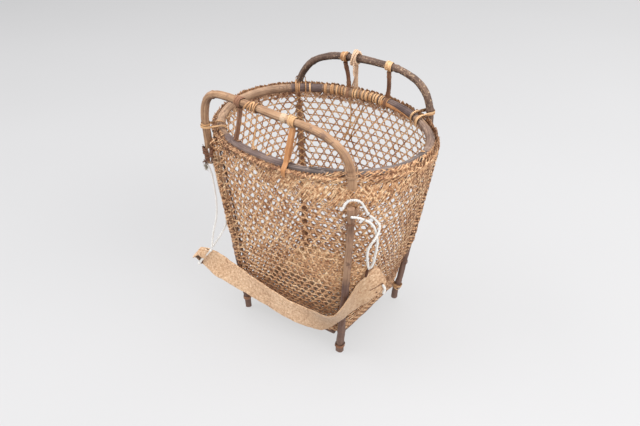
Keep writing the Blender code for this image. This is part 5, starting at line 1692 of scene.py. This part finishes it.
# the end folded over and sewn down, its stitches, and fibres at the cut ends
def flap():
    h = Heap()
    s0, s1 = STRAP_LEN - 19.0, STRAP_LEN - 1.0
    ss = np.linspace(s0, s1 + 1.6, 40)
    rows = []
    lays = []
    for s in ss:
        f = (s - s0) / (s1 - s0)
        half = 0.40 * min(1.0, max(0.05, (f * 5.0) ** 0.5)) * (1 - 0.12 * f)
        qs = np.linspace(-half - 0.02, half, 34)
        rise = STRAP_T / 2 + 0.05 + 0.45 * min(1.0, (f * 3) if f > 0 else 0) - (1.6 if s > s1 else 0) * (s - s1)
        hgt, ident, _ = plait_height(s + 1.1, qs * STRAP_W * 1.02)
        sa = np.minimum(np.full(34, s), STRAP_LEN - 0.2) - tongue(s, qs) * 0.8
        topf = band_point(sa, qs, rise + 0.55 * hgt)
        low = band_point(sa, qs[::-1], STRAP_T / 2 - 0.5)
        rows.append(np.vstack([topf, low]))
        lays.append(np.stack([np.concatenate([ident, ident]), np.full(68, s * MM), np.concatenate([hgt, hgt])], -1))
    h.rings(np.array(rows), np.array(lays))
    return h.piece("strap_folded_end", mat=M["plait"], body=STRAP_BODY, slot="jute")


folded = flap()
h = Heap()
f = np.linspace(0, 1, 14)
c = band_point(STRAP_LEN - 25.5 + 17.0 * f, 0.125 + 0.15 * f - 0.04 * f * f,
               STRAP_T / 2 + 0.4 + 1.5 * np.clip((f - 0.3) * 6, 0, 1))
_, n = carried(c, (0.4, -0.8, 0.3))
ribbon(h, c, n, 0.9 * taper(14, 2, 0.5), 0.5, 0.3)
f = np.linspace(0, 1, 12)
c = band_point(np.full(12, FLAT_FROM + 2.2) + 0.6 * np.sin(f * 5), 0.49 - 0.20 * f, STRAP_T / 2 + 0.35)
_, n = carried(c, (0.4, -0.8, 0.3))
ribbon(h, c, n, 2.6 * taper(12, 2, 0.5), 0.5, 0.9)
for s0, q0, L in ((STRAP_LEN - 9.0, 0.25, 3.2), (STRAP_LEN - 20.0, 0.38, 2.0)):
    f = np.linspace(0, 1, 6)
    c = band_point(s0 + f * L, q0 + f * 0.03, STRAP_T / 2 + 1.6 * (s0 > STRAP_LEN - 19) + 0.4 + 0.3 * np.sin(np.pi * f))
    _, n = carried(c, (0.4, -0.8, 0.3))
    ribbon(h, c, n, 1.1, 0.6, 0.7)
stitches = h.piece("strap_stitches", mat=M["fibre"], body=STRAP_BODY, slot="dark_fibre")
h = Heap()
for k in range(150):
    r = np.random.default_rng(25000 + k)
    end = r.choice((0, 1))
    q0 = r.uniform(-0.46, 0.46)
    s0 = (STRAP_LEN - 0.3 - tongue(0, q0)) if end else 0.3
    base = band_point(np.array([s0]), np.array([q0]), np.array([r.uniform(-1, 1)]))[0]
    out_d = (LINE_T[-1] if end else -LINE_T[0])
    d = unit(out_d + r.normal(size=3) * 0.45)
    f = np.linspace(0, 1, 5)
    c = base + d[None] * (f * r.uniform(0.8, 2.4 if end else 1.2))[:, None]
    ribbon(h, c, np.tile(unit(np.cross(d, r.normal(size=3))), (5, 1)), 0.35, 0.25, 0.5, profile=STRIP4)
fringe = h.piece("strap_end_fibres", mat=M["plait"], body=STRAP_BODY, slot="jute")


def on_strap(s):
    """Centre, across, outward and along directions at distance s along the band."""
    return tuple(np.array([np.interp(s, LINE_S, a[:, i]) for i in range(3)])
                 for a in (LINE_C, LINE_W, LINE_N, LINE_T))


# toggle
_, w0, n0, t0_ = on_strap(STRAP_LEN - 14.0)
at_ = [band_point(np.array([STRAP_LEN - d_]), np.array([-0.5]), np.array([0.0]))[0] for d_ in (20.0, 10.0)]
toggle_ends = (at_[0] - w0 * 1.1 - t0_ * 1.7 + n0 * 2.8, at_[1] - w0 * 7.5 - t0_ * 3.9 + n0 * 2.8)
twig("toggle", smooth_path([toggle_ends[0], (toggle_ends[0] + toggle_ends[1]) / 2 + n0 * 0.3, toggle_ends[1]], 9),
     np.array((1.6, 1.95, 2.1, 2.1, 2.1, 2.1, 2.0, 1.9, 1.6)), M["fibre"], "post_wood",
     nodes=("strap_toggle",), count=40, sides=14, seed=821, body=STRAP_BODY, wander=0.1, first_normal=n0)


# ------------------------------------------------------------------ cords
def yarn_mesh(name, path, radius, pitch, mat, slot, body, nodes=(), plies=2, step=0.42, phase=0.0,
              fuzz=0, seed=1, loft=0.06):
    """Twisted cord: two or three plies wound round each other, along a path (mm)."""
    path = np.asarray(path, float)
    L = np.linalg.norm(np.diff(path, axis=0), axis=1).sum()
    count = max(int(L / step), 24)
    p = refine(path, count)
    t, n = carried(p, (0.31, 0.83, 0.46))
    b = np.cross(t, n)
    s = np.linspace(0, L, count)
    m = 9 * plies
    th = np.linspace(0, 2 * np.pi, m + 1)[:-1]
    if plies == 2:
        rho, d = 0.66, 0.34
    else:
        rho, d = 0.60, 0.40
    # outline of the plies' union in polar form
    rel = np.mod(th[None] - (2 * np.pi * s / pitch + phase)[:, None] + np.pi / plies, 2 * np.pi / plies) - np.pi / plies
    rr = d * np.cos(rel) + np.sqrt(np.clip(rho ** 2 - (d * np.sin(rel)) ** 2, 0, None))
    rr = rr * (1 + loft * wobble(s, seed, 4, 0.35))[:, None]
    ends = np.clip(np.minimum(s, L - s) / (radius * 0.6), 0, 1)
    rr = rr * (0.55 + 0.45 * np.sqrt(ends))[:, None]
    ring = radius * rr
    rings = p[:, None] + np.cos(th)[None, :, None] * n[:, None] * ring[..., None] \
        + np.sin(th)[None, :, None] * b[:, None] * ring[..., None]
    lay = np.empty(rings.shape)
    lay[..., 0] = (rr - rr.min()) / max(np.ptp(rr), 1e-6) * 2 - 1
    lay[..., 1] = (s * MM)[:, None]
    lay[..., 2] = seed * 0.1
    h = Heap()
    h.rings(rings, lay)
    g = np.random.default_rng(seed + 77)
    for _ in range(fuzz):
        i = g.integers(2, count - 2)
        a = g.uniform(0, 6.28)
        r0 = radius * 0.75
        out = np.cos(a) * n[i] + np.sin(a) * b[i]
        dd = unit(out + t[i] * g.uniform(-1.2, 1.2))
        f = np.linspace(0, 1, 4)
        Lf = g.uniform(0.8, 2.0)
        c = p[i] + out * r0 + dd[None] * (f * Lf)[:, None]
        ribbon(h, c, np.tile(unit(np.cross(dd, g.normal(size=3))), (4, 1)), 0.13, 0.12, 0.5, profile=STRIP4)
    ob = h.piece(name, mat=mat, slot=slot, body=body, nodes=nodes)
    return ob, p, L


RIGHT_LOOP = [(112.8, -117.4, 284.6), (113.4, -113.6, 290.6), (117.6, -110.8, 296.4),
              (123.0, -106.4, 297.6), (128.0, -97.4, 291.4), (131.4, -93.2, 282.4),
              (135.2, -89.2, 270.4)]
RIGHT_HANG_A = [(136.0, -88.0, 268.8), (139.0, -83.2, 263.7), (142.6, -79.6, 258.0),
                (147.0, -78.2, 251.6), (149.2, -83.0, 246.4), (149.2, -88.6, 240.6),
                (147.4, -93.2, 235.4), (143.6, -94.8, 227.0), (139.2, -92.6, 216.6),
                (133.9, -85.7, 199.2), (128.3, -74.4, 179.0), (125.4, -67.5, 166.1),
                (125.4, -65.4, 162.0)]
RIGHT_BAND = [(126.6, -118.6, 278.6), (131.4, -110.6, 275.4), (136.6, -101.4, 269.4)]
RIGHT_HANG_B = [(137.4, -99.8, 268.2), (140.4, -92.8, 261.6), (143.0, -86.4, 252.4),
                (144.6, -82.6, 240.6), (145.4, -79.8, 228.0), (144.4, -78.6, 215.0),
                (139.0, -73.8, 194.0), (133.2, -68.2, 176.0), (127.8, -65.4, 165.2)]
LEFT_LOOP = [(-119.8, -119.5, 303.0), (-117.4, -120.4, 299.0), (-116.4, -119.6, 291.0),
             (-118.0, -118.0, 280.4)]
LEFT_HANG_A = [(-118.4, -114.8, 277.0), (-118.5, -111.4, 266.0), (-117.8, -109.2, 250.0),
               (-116.4, -107.0, 228.5), (-113.2, -104.0, 203.4), (-111.6, -102.0, 185.8),
               (-113.1, -102.8, 166.4), (-120.9, -107.0, 147.0), (-134.4, -112.2, 122.4),
               (-137.2, -113.2, 118.2)]
LEFT_HANG_B = [(-131.6, -116.4, 276.6), (-127.8, -115.6, 270.4), (-124.5, -114.4, 262.0),
               (-120.4, -114.5, 239.6), (-118.6, -114.0, 212.2), (-122.1, -113.0, 181.6),
               (-131.4, -113.4, 148.3), (-134.2, -116.2, 121.8)]


def over_strap(s, across):
    """Points beside the strap near distance s: (across, outward, along) in mm."""
    c, w, n, t = on_strap(s)
    return [c + w * a + n * b + t * d for a, b, d in across]


UP = STRAP_T / 2 + CORD_R + 0.75
TIE_LEFT = [(-23.0, UP + 0.1, 2.2), (-17.5, UP, 0.9), (-9.0, UP + 0.2, 0.3), (0.0, UP, 0.0), (9.0, UP + 0.2, -0.2),
            (17.0, UP, 0.2), (21.0, UP - 0.1, 0.2)]
TIE_RIGHT = [(11.0, UP + 0.5, 1.2), (15.0, UP + 0.8, 1.4), (19.4, UP + 0.5, 0.6), (23.2, 2.0, -1.6),
             (25.8, 0.2, -4.6)]
PITCH = 5.2
small = {}
for name, pts, count, node, body in (
        ("loop_left_yarn", LEFT_LOOP, 7, "cotton_loop_left", BODY),
        ("band_right_yarn", RIGHT_BAND, 6, "cotton_band_right", BODY),
        ("tie_left_yarn", over_strap(FLAT_FROM, TIE_LEFT), 12, "cotton_tie_left", STRAP_BODY),
        ("tie_right_yarn", over_strap(STRAP_LEN - 6.0, TIE_RIGHT), 12, "cotton_tie_right", STRAP_BODY)):
    small[node], _, _ = yarn_mesh(name, smooth_path(pts, count), CORD_R + (0.9 if "tie" in node else 0.5), PITCH,
                                  M["cotton"], "cotton", body,
                                  nodes=(node,), fuzz=24, seed=sum(map(ord, node)) % 97)

for name, pts, count, node, withs, where in (
        ("loop_right_yarn", RIGHT_LOOP, 12, "cotton_loop_right", ("cotton_band_right",), None),
        ("right_hang_yarn_a", RIGHT_HANG_A, 24, "cotton_cord_right_a", ("cotton_tie_right",), 0.10),
        ("right_hang_yarn_b", RIGHT_HANG_B, 22, "cotton_cord_right_b", (), 0.12),
        ("left_hang_yarn_a", LEFT_HANG_A, 28, "cotton_cord_left_a", ("cotton_loop_left",), 0.08),
        ("left_hang_yarn_b", LEFT_HANG_B, 28, "cotton_cord_left_b", ("cotton_tie_left",), 0.08)):
    path = smooth_path(pts, count)
    body = BODY if where is None else None
    ob, fine, L = yarn_mesh(name, path, CORD_R + (0.6 if "right" in node else 0.35), PITCH, M["cotton"], "cotton", body, nodes=(node,),
                            fuzz=int(np.linalg.norm(np.diff(path, axis=0), axis=1).sum() / 1.2),
                            seed=sum(map(ord, node)) % 89)
    if where is not None:
        i = int(where * (len(fine) - 1))
        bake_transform(ob)

# worn cotton fluff where the two left cords leave their loop
h = Heap()
g = np.random.default_rng(577)
for k in range(230):
    at_ = np.array((-130.2, -116.6, 269.0)) + g.normal(size=3) * np.array((1.0, 1.0, 2.6))
    d_ = unit(g.normal(size=3))
    f = np.linspace(0, 1, 5)
    side = unit(np.cross(d_, g.normal(size=3)))
    c = at_ + d_[None] * (f * g.uniform(1.5, 3.6))[:, None] + side[None] * (f ** 2 * 1.2)[:, None]
    ribbon(h, c, np.tile(np.cross(d_, side), (5, 1)), 0.28, 0.2, 0.5, profile=STRIP4)
h.piece("cord_fluff_left", mat=M["fluff"], slot="cotton")

# twisted cream cord on the back bar
bar, d = bar_at(back_path, -18.0)
low = hoop_point(100.3)
low = np.array((low[0], low[1], HOOP_Z + HOOP_R + 3.6))
top = bar - np.array((0, 0, HANDLE_R + 4.4))
yarn_mesh("drawn_rope", smooth_path([low, (low + top) / 2 + (0.6, 0.4, 0), top], 12), 2.25, 8.5, M["rope"],
          "twisted_fibre", BODY, nodes=("fibre_cord",), plies=3, step=0.4, fuzz=50, seed=901)
a = np.linspace(0, 2 * np.pi * 2.6, 80)
u1 = unit(np.cross(d, (0, 0, 1)))
v1 = np.cross(d, u1)
coil = bar + d[None] * np.linspace(-3.6, 3.6, 80)[:, None] \
    + (np.cos(a)[:, None] * u1 + np.sin(a)[:, None] * v1) * (HANDLE_R * 1.05 + 0.5 + 1.75)
yarn_mesh("rope_knot", coil, 1.75, 6.5, M["rope"], "twisted_fibre", BODY, nodes=("fibre_cord_knot",),
          plies=2, step=0.45, fuzz=70, seed=903)
# loose strands beside the drawn cord, spreading where they pass the rim
for k, (dx0, dx1, r0, y1) in enumerate(((-3.6, -2.2, 1.5, 0.8), (-1.6, -5.4, 1.4, -0.8), (2.6, 3.0, 1.3, 0.6))):
    yarn_mesh("rope_strand_%d" % k,
              smooth_path([low + (dx1 * 1.3, -0.6, -1.5), low + (dx1 * 0.9, 0.4, 6.0),
                           (low + top) / 2 + (dx0 * 0.7, y1, 0), top + (dx0, 0, -1.0)], 14),
              r0, 6.5, M["rope"], "twisted_fibre", BODY, plies=2, step=0.45, fuzz=40, seed=911 + k)
for k, (x0, lift_, rad, ph) in enumerate(((-5.2, 1.6, 5.4, 0.4), (-2.4, 3.0, 6.2, 1.7), (1.8, 2.4, 5.0, 3.0))):
    aa = np.linspace(0, 2 * np.pi * 0.86, 30) + ph
    lp = bar + d[None] * (x0 + 2.2 * np.sin(aa * 1.5))[:, None] \
        + (np.cos(aa)[:, None] * u1 + np.sin(aa)[:, None] * v1) * (HANDLE_R * 1.05 + 2.4 + lift_ + 1.4 * np.sin(aa * 2 + k))[:, None]
    yarn_mesh("rope_knot_loop_%d" % k, lp, 1.45, 6.0, M["rope"], "twisted_fibre", BODY, plies=2, step=0.45,
              fuzz=30, seed=921 + k)
# its two short ends, standing up and down from the knot
h_top = bar + np.array((0, 0, HANDLE_R * 1.05 + 3.2))
yarn_mesh("rope_end_up", smooth_path([h_top + (-4.0, -1.5, -1.5), h_top + (-0.5, 0, 1.0), h_top + (4.6, 1.0, 1.2),
                                      h_top + (6.6, 2.2, -2.6)], 14), 1.5, 6.0, M["rope"],
          "twisted_fibre", BODY, plies=2, fuzz=30, seed=905)
side = bar + u1 * (-1 if u1[1] > 0 else 1) * (HANDLE_R * 1.05 + 3.6)
yarn_mesh("rope_end_down", smooth_path([side + (-2.0, 0, 3.0), side + (0.5, -1.2, -4.0), side + (2.0, -1.4, -11.0),
                                        side + (1.2, -0.6, -19.0), side + (2.8, -0.2, -26.0)], 20), 1.35, 6.0, M["rope"],
          "twisted_fibre", BODY, plies=2, fuzz=60, seed=907)

# ------------------------------------------------------------------ floor, light, camera
t = Tree("studio_paper")
soft = t.noise(t.obj(), 1.3, 2.0, 0.5)
M_FLOOR = t.done(t.ramp(soft, [(0.3, srgb(104, 104, 106)), (0.7, srgb(108, 108, 110))]), 0.85, spec=0.05)
# painted light: the paper glows through its emission, brighter towards +x and -y
fx_, fy_, _ = t.split(t.obj())
painted_glow = t.math("ADD", t.math("MULTIPLY", fx_, 0.14), t.math("MULTIPLY", fy_, -0.05))
painted_glow = t.math("ADD", painted_glow, 0.5)
# painted shadow: the paper's glow is dimmed on the basket's shaded side
gx_, gy_ = t.math("ADD", fx_, 0.37), t.math("ADD", fy_, -0.03)
g2_ = t.math("ADD", t.math("MULTIPLY", gx_, gx_), t.math("MULTIPLY", gy_, gy_))
painted_shadow_blob = t.math("POWER", 2.718, t.math("MULTIPLY", g2_, -22.0))
painted_glow = t.math("ADD", painted_glow, t.math("MULTIPLY", painted_shadow_blob, -0.085))
t.put(t.bsdf.inputs["Emission Color"], t.ramp(painted_glow, [(0.2, (0.62, 0.615, 0.61)), (0.8, (1.24, 1.23, 1.22))]))
t.bsdf.inputs["Emission Strength"].default_value = 0.62
g = np.linspace(-3.0, 3.0, 7)
fx, fy = np.meshgrid(g, g, indexing="ij")
fv = np.stack([fx.ravel(), fy.ravel(), np.full(fx.size, -0.0004)], -1) * 1000
idx = np.arange(49).reshape(7, 7)
fq = np.stack([idx[:-1, :-1], idx[1:, :-1], idx[1:, 1:], idx[:-1, 1:]], -1).reshape(-1, 4)
me = bpy.data.meshes.new("studio_floor")
me.from_pydata((fv * MM).tolist(), [], fq.tolist())
me.materials.append(M_FLOOR)
floor = bpy.data.objects.new("studio_floor", me)
bpy.context.scene.collection.objects.link(floor)

world = bpy.data.worlds.new("studio")
bpy.context.scene.world = world
world.use_nodes = True
bg = world.node_tree.nodes["Background"]
bg.inputs[0].default_value = (0.93, 0.94, 0.96, 1)
bg.inputs[1].default_value = 0.93


def area(name, loc, aim, size, power, colour=(1, 1, 1)):
    li = bpy.data.lights.new(name, "AREA")
    li.shape = "RECTANGLE"
    li.size, li.size_y = size
    li.energy = power
    li.color = colour
    ob = bpy.data.objects.new(name, li)
    bpy.context.scene.collection.objects.link(ob)
    ob.location = loc
    ob.rotation_euler = (Vector(aim) - Vector(loc)).to_track_quat("-Z", "Y").to_euler()
    return ob


area("soft_left", (-1.6, -1.1, 2.0), (0, 0, 0.15), (1.9, 1.9), 41)
area("soft_top", (0.3, 0.5, 2.3), (0, 0, 0.1), (2.4, 2.4), 43)
area("soft_right", (1.9, -0.7, 1.4), (0, 0, 0.15), (1.6, 1.6), 22)

AZ, EL, ROLL = math.radians(35.76), math.radians(32.763), math.radians(0.100)
TARGET = np.array((-17.44, 12.72, 162.51))
DIST = 1266.62
back = np.array((math.sin(AZ) * math.cos(EL), -math.cos(AZ) * math.cos(EL), math.sin(EL)))
right = np.array((math.cos(AZ), math.sin(AZ), 0.0))
up = np.cross(back, right)
R2 = right * math.cos(ROLL) + up * math.sin(ROLL)
U2 = np.cross(back, R2)
pos = (TARGET + back * DIST) * MM
cam = bpy.data.cameras.new("camera")
cam.sensor_width = 36.0
cam.lens = 45.0
cam.clip_start = 0.05
cam.clip_end = 50.0
cam_ob = bpy.data.objects.new("camera", cam)
bpy.context.scene.collection.objects.link(cam_ob)
mw = Matrix.Identity(4)
for i in range(3):
    mw[i][0], mw[i][1], mw[i][2], mw[i][3] = R2[i], U2[i], back[i], pos[i]
cam_ob.matrix_world = mw
bpy.context.scene.camera = cam_ob
bpy.context.scene.view_settings.view_transform = "Standard"
bpy.context.scene.view_settings.look = "None"

# ------------------------------------------------------------------ close
bpy.context.view_layer.update()
